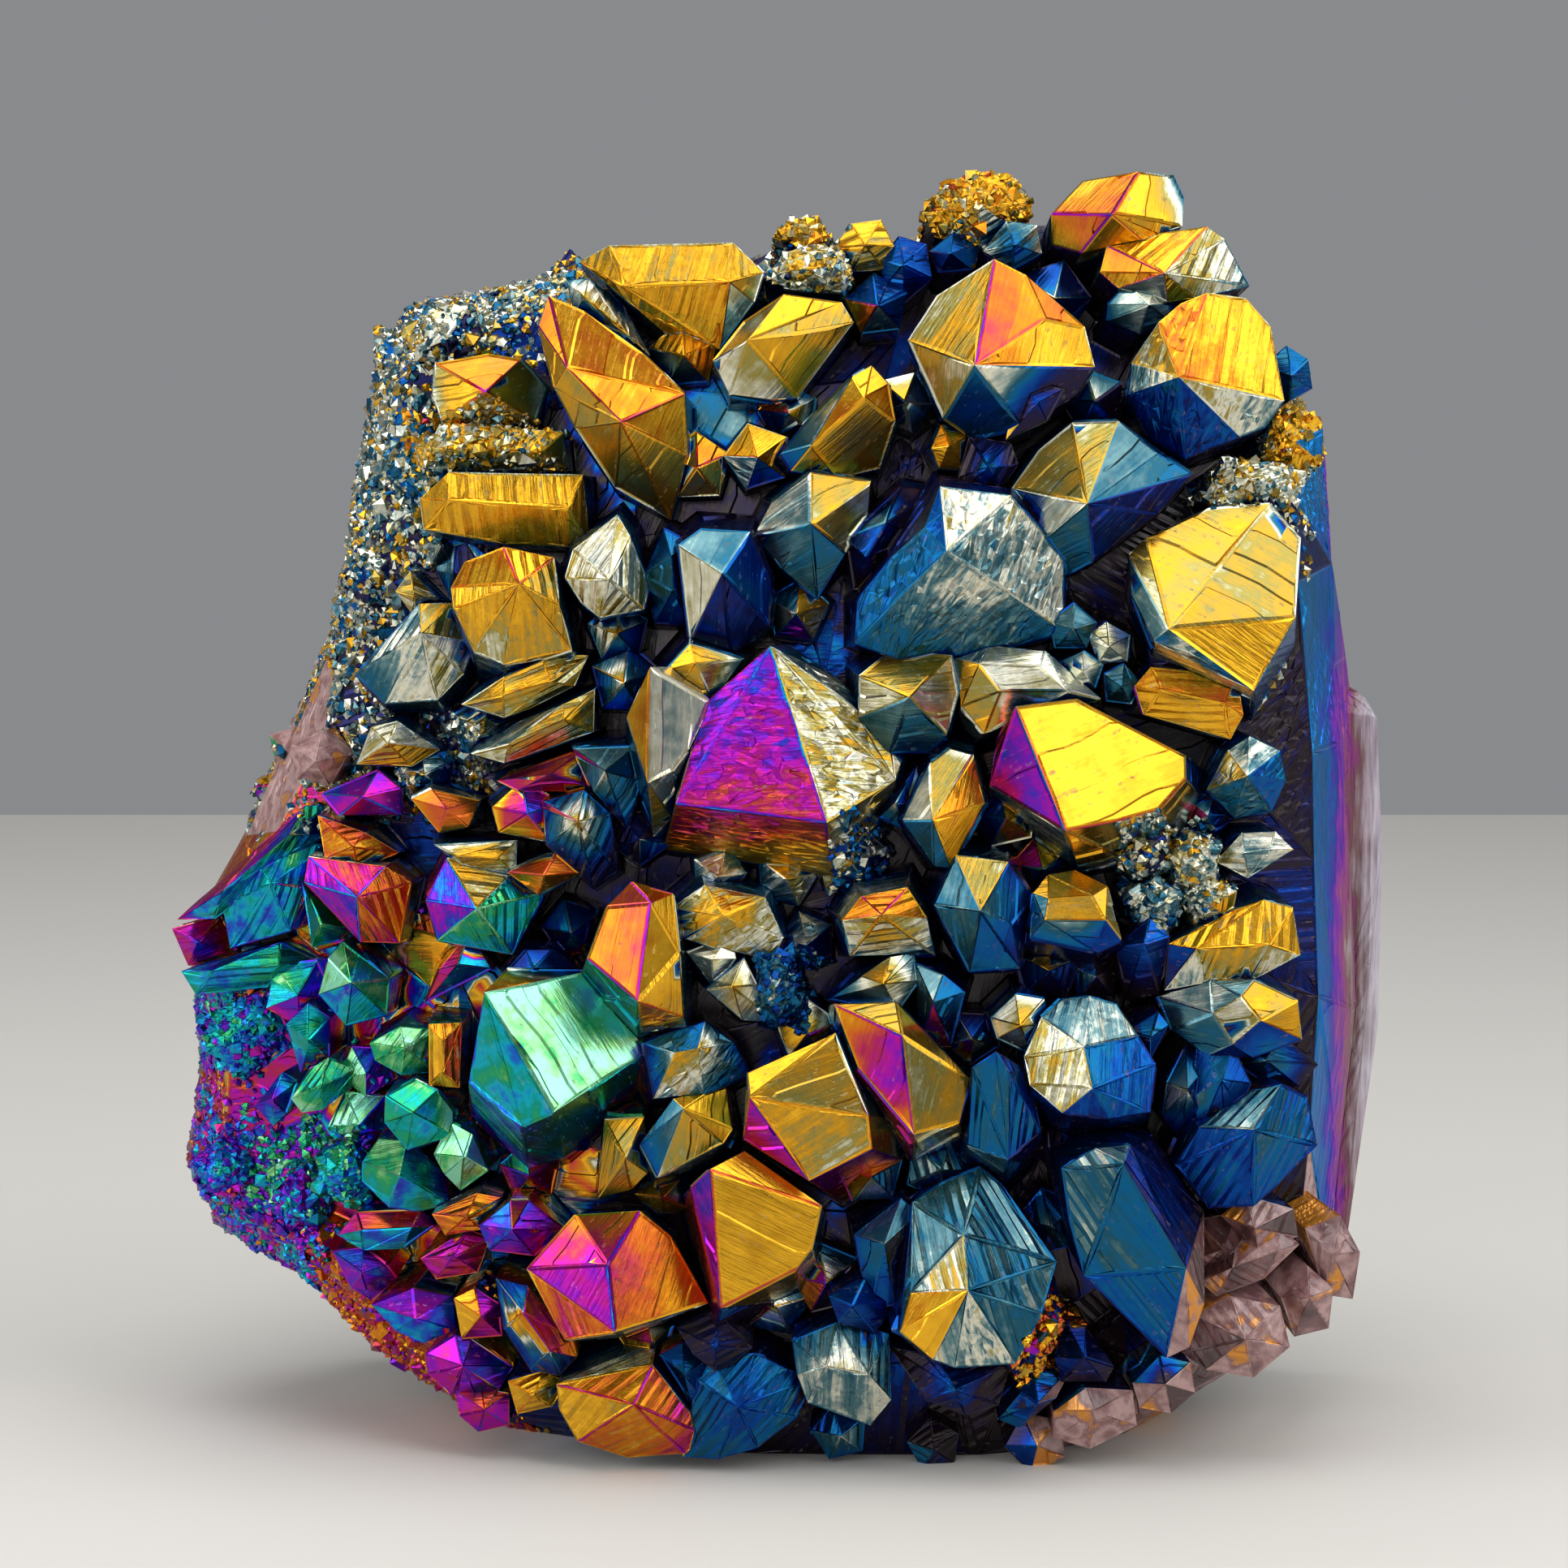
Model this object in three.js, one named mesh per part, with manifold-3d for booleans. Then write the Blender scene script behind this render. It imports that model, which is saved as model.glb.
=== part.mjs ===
// Aura amethyst druzy: a block broken out of a geode wall. Quartz points grew together over one face,
// fine druse creeps round the left and upper edges, and the right edge shows the layers of the wall:
// crystal crust, raw amethyst, and a slab of pale grey matrix behind. It stands on a flat cut.
import * as THREE from 'three';
import { ConvexGeometry } from 'three/addons/geometries/ConvexGeometry.js';
import { mergeVertices } from 'three/addons/utils/BufferGeometryUtils.js';
import Module from 'manifold-3d';

const wasm = await Module();
wasm.setup();

// Driving dimensions, in mm. X is right, Y is away from the viewer, Z is up.
const EYE = new THREE.Vector3(1, -338, 87); // where the outlines below are seen from
const SIGHT_PLANE = -12; // the plane in Y on which they are measured
const FACE_Y = -19; // the crystal face at its fullest
const FULLEST = { x: 6, z: 50 };
// Toward each edge the face falls back: over what distance, how far, and how sharply it curves.
const LEFT = { reach: 51, fall: 17, curve: 2.4 };
const RIGHT = { reach: 36, fall: 4, curve: 3 };
const TOP = { reach: 48, fall: 10, curve: 2.2 };
const FOOT = { reach: 50, fall: 4.5, curve: 2.5 };
const CREVICE = 4.5; // depth of the gaps between the points
const DRUSE_DEPTH = 1.5; // depth of the gaps where the druse is fine
const WIDEST_Y = 2; // the block is widest at this depth
const FRONT_LIMIT_Y = 9; // no ring of the crystal side lies behind this
const BACK_Y = 21;
const CUT_Z = 0.6; // height of the flat cut over the lowest point of the outline's plane
const FLANK_PAST = 1; // the flanks run back to this far behind the gaps
const FLARE = 0.2; // how much wider a flank gets per mm on the way back, in the middle of the block
const EDGE_FLARE = -0.12; // and at its edge, where it gets narrower
const ROOT_Y = 15; // the points taper back to roots at this depth
const INWARD = 0.34; // how far a root at the edge is drawn in toward the block's middle, as a share
const INWARD_REACH = 45; // the distance from the middle at which it is drawn in fully
const FINEST = 0.1; // no sliver finer than this is kept
const TOUCHING_GAP = 0.03; // half the gap between faces that would only just touch
const SEED = 20;

// Marks a rim corner that lies on the flat face between the corners on each side of it.
const FLAT = 'flat';

// Every crystal is [name, tips, rim, extras], seen from the front. A tip and a rim corner are [x, z], and
// a corner's third number is how far it stands out past the first tip. Extras: slope is the fall from
// tip to rim, lean the way that the tip points, lift how far it stands out of the face.
const topRow = [
  ['long leaf', [[-15, 84], [-11, 80]], [[-16.5, 89.3], [-14, 88.2, FLAT], [-9.5, 85, FLAT],
    [-6.4, 82], [-6.2, 77.5], [-7.5, 72.5], [-11.7, 75, FLAT], [-14.5, 79.5], [-16, 82.5],
    [-17.2, 87]], { slope: 0.75, lift: 2 }],
  ['brown cap', [[-21, 82.2]], [[-25, 84.3], [-21, 85, FLAT], [-18.5, 84.6], [-16.6, 82.5, FLAT],
    [-17.5, 80], [-21.5, 79.2, FLAT], [-24.5, 80], [-25.3, 82, FLAT]]],
  ['sliver', [[-13.8, 89.2], [-10.5, 86.3]], [[-15.2, 90.4], [-13.5, 90.6], [-11, 88.7], [-9, 84.8],
    [-12, 85.8], [-14.6, 88]]],
  ['smooth slab', [[-11, 90], [-3, 90.3]], [[-14.2, 91.8], [-12, 93], [-7.5, 92.8, FLAT],
    [-2.8, 93.2], [-0.5, 91], [-1.2, 88.8], [-3.8, 85.3], [-8, 86.6], [-9.9, 88.3]],
    { slope: 0.5 }],
  ['barred ledge', [[-24, 74.2], [-15, 73.6]], [[-26.2, 74.2], [-24, 76.2], [-14, 76], [-13.5, 70.5],
    [-20, 70.8, FLAT], [-26, 71.9]], { slope: 0.6, lift: 1 }],
  ['rough ledge', [[-24, 78], [-17, 77.8]], [[-26.6, 78], [-24, 79.8], [-15.5, 79.2], [-15, 76.3],
    [-20, 75.9], [-26, 76.5]]],
  ['yellow wedge', [[-1.7, 86]], [[-4.3, 84.5], [-2, 87.4, FLAT], [1, 89.4], [5.3, 88.8], [6.2, 87.3],
    [3.5, 84, FLAT], [2, 81.7], [0, 81.5, FLAT], [-3.1, 81.9]], { slope: 0.5 }],
  ['gold bolt', [[7, 81.8], [3, 78.2]], [[0.7, 77.5], [1.5, 76.3], [5, 75.7], [8.2, 76.4], [9.3, 80],
    [8.8, 82.7], [7.5, 84.1], [6.1, 83.3], [3, 80.2, FLAT]], { lift: 1 }],
  ['crown', [[15, 84.2]], [[10.2, 86], [12.4, 89.3, FLAT], [16.6, 92], [19, 90.8, FLAT], [20.4, 87.6],
    [23.4, 87, FLAT], [24.2, 84], [22.9, 81.8, FLAT], [18.8, 79.4], [15.2, 78.5, FLAT], [12.8, 80.2]],
    { slope: 0.7, lean: [-0.15, -0.1], lift: 3 }],
  ['white spur', [[19.9, 81.4]], [[18.3, 83], [21.9, 82.4], [20.6, 80], [17.6, 78.6]],
    { slope: 0.4, lift: 2.5 }],
  ['yellow chip', [[13.3, 78.2]], [[12, 78], [12.7, 79.7], [14.8, 79.3], [14.4, 76.3], [12.6, 76.5]]],
  ['grey chip', [[16.2, 76.6]], [[14.8, 78.9], [17.9, 78.4], [18.5, 76.8], [17, 74.7], [15, 73.2],
    [13.8, 75]]],
  ['striped cap', [[7, 93]], [[4.6, 92.8], [6, 94.6], [8.2, 94.9], [9.2, 93], [8.5, 91.2], [6, 91]]],
  ['rough cap', [[1.5, 91.2], [4.5, 91.2]], [[-0.5, 90.4], [1, 92.4], [3, 93.1], [5.2, 92.7],
    [6.1, 91], [5.5, 89.5], [2, 89.7]]],
  ['druse knob', [[2.2, 94]], [[0.1, 93.6], [1.5, 95], [3.6, 94.9], [4.6, 93.4], [2.5, 92.6]]],
  ['druse ball', [[15.3, 96]], [[11.4, 95.5], [13, 97.6], [15.3, 98.4], [18, 98], [19.5, 96],
    [19, 94], [15.5, 93], [12.2, 93.6]], { slope: 0.6 }],
  ['blue spear', [[9.8, 91.5]], [[8.2, 92], [9.5, 93.7], [11.6, 93.1], [12, 90.5], [10, 88.6],
    [8.3, 89.7]], { lift: -1 }],
  ['blue stub', [[13.4, 92.4]], [[11.8, 92.6], [13.6, 94], [15.6, 93], [15, 91.2], [12.6, 91]],
    { lift: -1 }],
  ['blue blade', [[18, 93]], [[15.8, 92.6], [17.5, 94.8], [19.8, 94.5], [20.2, 92.4], [18, 91.2]]],
  ['summit', [[25.1, 95.2]], [[20.8, 95.3], [23.2, 97.8, FLAT], [27.2, 98.4], [30, 98.2, FLAT],
    [30.8, 96.5, FLAT], [30.6, 94.4], [27.5, 93.4], [23, 92.4], [20.9, 93, FLAT]],
    { slope: 0.65, lift: 1 }],
  ['shoulder point', [[29, 90.9]], [[25, 93], [28, 93.8, FLAT], [32.5, 94.4], [33.8, 93.5],
    [35.8, 90], [31.5, 89.1], [29.4, 88.8], [25.8, 89.8], [24.5, 91]], { lift: 1 }],
  ['grey wedge', [[28, 88.6]], [[25.1, 88.6], [26.5, 90.2], [29, 90.6], [30.3, 89], [29.6, 87.4],
    [27.5, 86.4], [25, 87.5]]],
  ['great shoulder', [[30.1, 83.3]], [[26.8, 84.3], [28.8, 87.3], [30.5, 88.7, FLAT],
    [32.5, 89.5], [35.5, 89.1, FLAT], [37.4, 87, FLAT], [38.3, 81.5], [36.9, 79.5, FLAT],
    [35, 78.8], [31, 77.1], [28.2, 78.7, FLAT], [26.6, 82]], { slope: 0.6, lean: [-0.2, 0],
    lift: 2 }],
  ['edge nub', [[38.6, 83.4]], [[37, 84], [38.4, 85.6], [40, 84.6], [40.4, 82.4], [38.6, 81.4]]],
];

const upperMiddle = [
  ['white crackle', [[36, 75.5]], [[32.3, 74.2], [34, 77.2], [38, 76.6], [40.4, 76.2], [38.6, 73.7],
    [34, 73]], { slope: 0.6 }],
  ['gold rubble', [[39, 78.5]], [[36.7, 77], [37.3, 80.2], [39.5, 81.2], [41.2, 79.5], [41.2, 76.8],
    [39, 75.8]], { slope: 0.6 }],
  ['great gold', [[29.5, 64.7]], [[28.2, 71.2], [33, 73.4, FLAT], [37.6, 73.8], [39.9, 71.2, FLAT],
    [39.2, 65.4], [36, 60], [31, 63], [28.5, 63.8], [27, 67, FLAT], [26.9, 70]],
    { slope: 0.5, lean: [-0.25, 0.25], lift: 2 }],
  ['white ledge', [[31, 62.8]], [[28.3, 63.6], [31, 64.2], [34.5, 62], [31, 60.9], [28.6, 61.3]]],
  ['brown slab', [[29.2, 60], [34, 59]], [[27.3, 60.2], [28.5, 61.6], [35, 60.9], [35.5, 58],
    [34.6, 56.1], [28, 58]], { slope: 0.5, lift: 1 }],
  ['rainbow plate', [[3, 72.5]], [[-1.3, 71.5], [0, 73.9, FLAT], [3, 76.2], [7.5, 75.5],
    [7.3, 73, FLAT], [5.6, 70.2], [3.5, 66.6], [0.8, 69]], { slope: 0.55 }],
  ['dark twins', [[8.5, 72.5], [7, 70]], [[5.6, 71.3], [9.8, 75.2], [12.8, 74.8], [11.8, 71.3],
    [8, 67.6], [6.2, 67.4]], { slope: 0.9, lift: -1 }],
  ['streaked giant', [[13, 70.5]], [[12.6, 75.2], [17.9, 74.5], [22, 70, FLAT], [22.3, 64],
    [16, 62.4, FLAT], [9.5, 62.2], [6.3, 63.2], [6.5, 66.7, FLAT], [9, 69.9, FLAT], [11.4, 72.2]],
    { slope: 0.5, lift: 1.5 }],
  ['olive fan', [[23.4, 74]], [[18, 75], [20, 77.8, FLAT], [22.5, 79.9], [26, 80], [28.9, 77.6],
    [31.7, 76], [29, 73.1], [24, 69.5], [22, 68.3, FLAT], [20.2, 71]], { slope: 0.65, lift: 1 }],
  ['star', [[10.3, 59.6]], [[6.6, 61], [9, 62.8, FLAT], [13.6, 62.5], [14.3, 60, FLAT],
    [13.2, 56.5], [12, 55, FLAT], [9, 55.1], [6.6, 57.8]], { slope: 0.6 }],
  ['white table', [[15.6, 61.9], [20.2, 61.7], [22.2, 59.9], [17.2, 59.9]], [[13.9, 62.2],
    [16.5, 63.2], [20.6, 62.8], [24.8, 59.2], [18, 58.3], [16, 56.6], [14.3, 58.6]],
    { slope: 0.6, lean: [0, 0.3] }],
  ['diamond 1', [[22.6, 64.6]], [[21, 65], [22.8, 66.4], [24.4, 65], [23.6, 63], [21.4, 63]]],
  ['diamond 2', [[25.3, 63.2]], [[23.8, 64], [25.2, 65], [27, 64], [26.8, 62], [24.6, 61.8]]],
  ['diamond 3', [[23.4, 61.4]], [[21.8, 62], [23.4, 62.8], [25, 61.8], [24.4, 60], [22.2, 60.2]]],
  ['diamond 4', [[26.3, 60.2]], [[25, 61], [26.6, 61.8], [27.8, 60.4], [27, 58.8], [25.2, 59]]],
  ['white kite', [[-12, 68.3]], [[-15.4, 68.3], [-14.2, 66.4, FLAT], [-12.8, 65.3], [-9.5, 65.9],
    [-9, 67.8, FLAT], [-10.5, 71.4], [-11.5, 73], [-14.8, 70.4]], { lift: 1 }],
  ['teal blade', [[-7.4, 70], [-7.3, 67.5]], [[-9.5, 68.5], [-8, 72], [-6.1, 71], [-5.4, 67],
    [-5.8, 64.6], [-8.7, 64.8]], { slope: 0.9, lift: -0.5 }],
  ['grey lantern', [[-3.6, 68.8]], [[-6.9, 70.8], [-5.2, 72, FLAT], [-1.5, 71.8], [0.1, 68, FLAT],
    [-0.1, 64.7], [-3, 62.4], [-6.1, 63.5]], { slope: 0.6, lift: 1 }],
  ['small fin', [[-26.6, 67]], [[-28.1, 67.3], [-27, 68.8], [-24.9, 66.7], [-26.5, 65.1]]],
  ['gold prow', [[-18.7, 68]], [[-24, 67.5], [-23, 69.4, FLAT], [-20, 70.6], [-16.2, 69.8],
    [-15.8, 66.3], [-14.9, 62.9], [-17.5, 62.3, FLAT], [-20, 61.8], [-22.3, 62.8], [-23.8, 66]],
    { slope: 0.6, lean: [0, 0.3], lift: 1.5 }],
  ['pale prow', [[-26, 64.3]], [[-31.3, 61], [-28.5, 63.9, FLAT], [-26.3, 66.4], [-24, 66.4],
    [-22.1, 63.5], [-23, 61.1], [-25, 59.1], [-29, 58.8]], { slope: 0.6, lean: [0, 0.2] }],
  ['white gable', [[-28.6, 56]], [[-31.2, 54.2], [-30, 57.1], [-28, 57.6], [-24.9, 55.3],
    [-27, 54.1]]],
  ['gold band', [[-20, 59.6], [-16.5, 60.6]], [[-23.3, 58.7], [-20, 60.9], [-17, 62.2], [-13.7, 62.4],
    [-14.7, 60.2], [-18, 58.5], [-20, 57.8]]],
  ['gold strip', [[-19.5, 56], [-15.5, 57.8]], [[-22.6, 55], [-19, 57.4, FLAT], [-15.5, 58.9],
    [-13.2, 59.9], [-13.3, 56.7], [-17, 55.4], [-20, 54.4]]],
];

const middle = [
  ['violet point', [[0, 63.3]], [[-4.6, 59.2, -1.6], [-5.8, 56, FLAT], [-7.1, 51.4, -0.2],
    [4.2, 50.3, 2.4], [9.4, 53, -2.2], [10.3, 55.4, -4], [5, 60.6, -4], [1.4, 63.2, -3]],
    { lean: [0, 0.55], lift: 1 }],
  ['white twin', [[-9, 61.7]], [[-10.8, 57.8, -2], [-10, 55, -1.4], [-9.2, 53, 0.4],
    [-7.4, 53.8, FLAT], [-6.2, 55.4, FLAT], [-4.5, 58.9, -2], [-7, 61.5, -2.6]],
    { lean: [-0.1, 0.6], lift: 2.5 }],
  ['gold twin', [[-5.6, 62]], [[-7.9, 61.3], [-6, 63.4], [-2, 62.2], [-4.4, 58.8], [-7, 60]],
    { slope: 0.6, lift: 1.5 }],
  ['grey stub', [[-12.4, 54]], [[-14.9, 55.5], [-10.1, 55.7], [-9.7, 53], [-10.9, 49.1],
    [-13.3, 52.3]]],
  ['yellow point', [[18.3, 58.8]], [[23, 59.2, -2], [27.4, 56.7, FLAT], [31.4, 54.7, FLAT],
    [31.4, 53, FLAT], [29.2, 50.8, FLAT], [25.9, 50.1, FLAT], [22, 49.6, 1.6], [16.5, 52.6, -2.6],
    [17, 56, -2.4]], { lean: [-0.3, 0.4], lift: 2 }],
  ['tan point', [[12.1, 50.4]], [[9.9, 50.2], [12, 54.4], [13.5, 55.4, FLAT], [15.3, 54.9],
    [16.1, 51.3], [13.6, 46.4], [12.3, 46.6]], { slope: 0.7, lift: 1 }],
  ['pale stick', [[9.3, 51.5]], [[8.2, 50.3], [11, 54], [11.3, 51.5], [10, 49.4]]],
  ['stepped gold', [[8.3, 43.2]], [[5.4, 42.5], [6.8, 44.4], [10.3, 45], [11.8, 42.6], [12.5, 39.5],
    [6, 39.6]], { lift: 1 }],
  ['teal chimney', [[15.7, 43.5]], [[13.9, 47.4], [17.9, 46.9], [19.9, 44, FLAT], [18.2, 42.2],
    [18.9, 38.6], [15, 38.4], [12.3, 43.7]], { slope: 0.6, lift: 1 }],
  ['pale table', [[20.9, 44.2], [24.2, 44.4], [25.2, 42.6], [20.6, 42.6]], [[19.8, 44.5],
    [21, 45.8], [23, 46.1], [25.4, 45], [26.4, 41], [24.5, 40.1], [19.5, 41.2]],
    { slope: 0.6, lean: [0, 0.35], lift: 1.5 }],
  ['dark keel', [[28, 41]], [[26, 40.5], [28.5, 42.7], [30, 41.4], [29.5, 36.6], [27, 36.1]]],
  ['grey crest', [[35.6, 53.6]], [[32.8, 52.3], [34.3, 55.4], [36, 56.4], [38.3, 55.3], [38.8, 53],
    [37.8, 50.6], [35, 50.1]]],
  ['oval plate', [[35.6, 47.6], [37.6, 47.9]], [[33.5, 46.8], [35.5, 49.1], [38, 49.2],
    [39.4, 47.8], [36, 45.6]], { slope: 0.35 }],
  ['frost 1', [[28.2, 47.4]], [[26.2, 47.4], [27.6, 49.2], [29.8, 48.8], [30.2, 46.4], [27.4, 45.6]]],
  ['frost 2', [[31.8, 46.8]], [[30, 47.4], [31.6, 49], [33.8, 48.2], [33.6, 45.6], [30.8, 45.2]]],
  ['frost 3', [[29, 43.6]], [[27, 44], [28.8, 45.6], [31, 44.6], [30.6, 42.2], [27.8, 41.8]]],
  ['frost 4', [[33, 43.9]], [[31.2, 44.4], [32.8, 45.8], [35.2, 44.6], [34.8, 42.4], [32, 42.2]]],
  ['gold block', [[32, 40.5], [37.5, 40.8]], [[29.8, 37], [30, 40.7], [35, 43.2], [37.2, 44],
    [39.4, 43.4], [40, 39.8], [36, 37.6], [33, 36.6]], { slope: 0.5, lift: 1 }],
  ['white hexagon', [[33.3, 35.6], [35.4, 36.9], [36.9, 35], [34.8, 33.2]], [[29.3, 36.5],
    [33, 38], [36.5, 38], [39.9, 36.3], [40.3, 33.2], [36.5, 32], [33, 32.1], [30.3, 34]],
    { slope: 0.55, lift: 1 }],
  ['teal diamond', [[28.7, 33.6]], [[27, 33.9], [29.3, 35.4], [30.1, 34.4], [28.8, 31.8]],
    { slope: 0.5, lift: 1 }],
  ['cream cap', [[8.5, 37.8]], [[4.3, 36.2], [6.8, 38.2], [9, 39.7], [10.8, 39.9], [11.3, 37.8],
    [9.6, 35.4]], { slope: 0.6 }],
  ['grey spear', [[12.2, 36.5]], [[10.9, 39.2], [13, 38.4], [14.7, 37], [13.7, 32.6], [11.2, 32.6]]],
  ['orange hexagon', [[-24.3, 51]], [[-27.1, 51.6], [-25.5, 52.4], [-21.9, 51.5], [-22.8, 49.5],
    [-25, 49.1]], { slope: 0.5 }],
  ['bicolour peak', [[-18.2, 50.7]], [[-21, 51], [-18.7, 53.1], [-15.8, 51.3], [-16.6, 48.3],
    [-18.8, 48.8, FLAT], [-20.5, 49.1]], { slope: 0.6, lift: 0.5 }],
  ['magenta roof', [[-16.5, 53.7]], [[-20.6, 53], [-14, 55.4], [-12.3, 52.1], [-19, 52.3]],
    { slope: 0.5, lift: 0.5 }],
  ['striped wedge', [[-14.4, 50.2]], [[-17.1, 51.5], [-14, 52.4], [-12.1, 50.6], [-11.6, 46],
    [-13.5, 44.6], [-16.9, 48.2]]],
  ['pale step', [[-23.5, 47.4], [-20.5, 47.3]], [[-25.4, 48.2], [-19.1, 48.5], [-19.2, 45.8],
    [-23, 46.3]], { slope: 0.5 }],
  ['orange oval', [[-17, 46]], [[-19.9, 46], [-16, 47.7], [-14.3, 46], [-17.5, 44.4]]],
  ['dark green point', [[-22, 43.7]], [[-24.4, 47.2], [-22, 47.2, FLAT], [-17.1, 44.5], [-19.5, 39.8],
    [-25.2, 40.9], [-26, 44]], { slope: 0.6, lift: 0.5 }],
  ['red arrow', [[-23.6, 39.2]], [[-26.2, 36], [-25, 38.8], [-22.8, 41.6], [-21.1, 38.7]],
    { slope: 0.5 }],
  ['gold arch', [[-17.8, 39]], [[-20.2, 38.2], [-18.5, 40.2], [-16.5, 40.2], [-14.6, 38.5],
    [-18.5, 37.2]]],
  ['violet kite', [[-9, 43.9]], [[-12.4, 43.4, -1.6], [-10.6, 45.2, -2], [-7.4, 44.4, -1.6],
    [-6.9, 40, -1], [-6.6, 35, -1.2], [-10, 36.6, 1.4], [-13.9, 39.4, -1.4]],
    { lean: [0, 0.45], lift: 2.5 }],
  ['white rubble', [[-3.5, 43]], [[-7.4, 43.4], [-5, 45.2], [-0.4, 44.2], [1, 41], [0.2, 39.3],
    [-4, 40.3], [-6.6, 41]], { slope: 0.5 }],
  ['white nail', [[-4.4, 39.6]], [[-6.4, 40], [-3, 41.4], [-2.6, 39.5], [-4.3, 37]], { slope: 0.6 }],
  ['cream nail', [[-2.9, 37.6]], [[-4.9, 37.2], [-2, 39.6], [-1, 37.6], [0.6, 34.4], [-2.2, 34.8]],
    { slope: 0.6 }],
  ['frosted side', [[0.4, 37.6]], [[-1.2, 39.8], [1.4, 39.5], [2.1, 36], [0.4, 34.1], [-1, 35.5]]],
];

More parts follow.
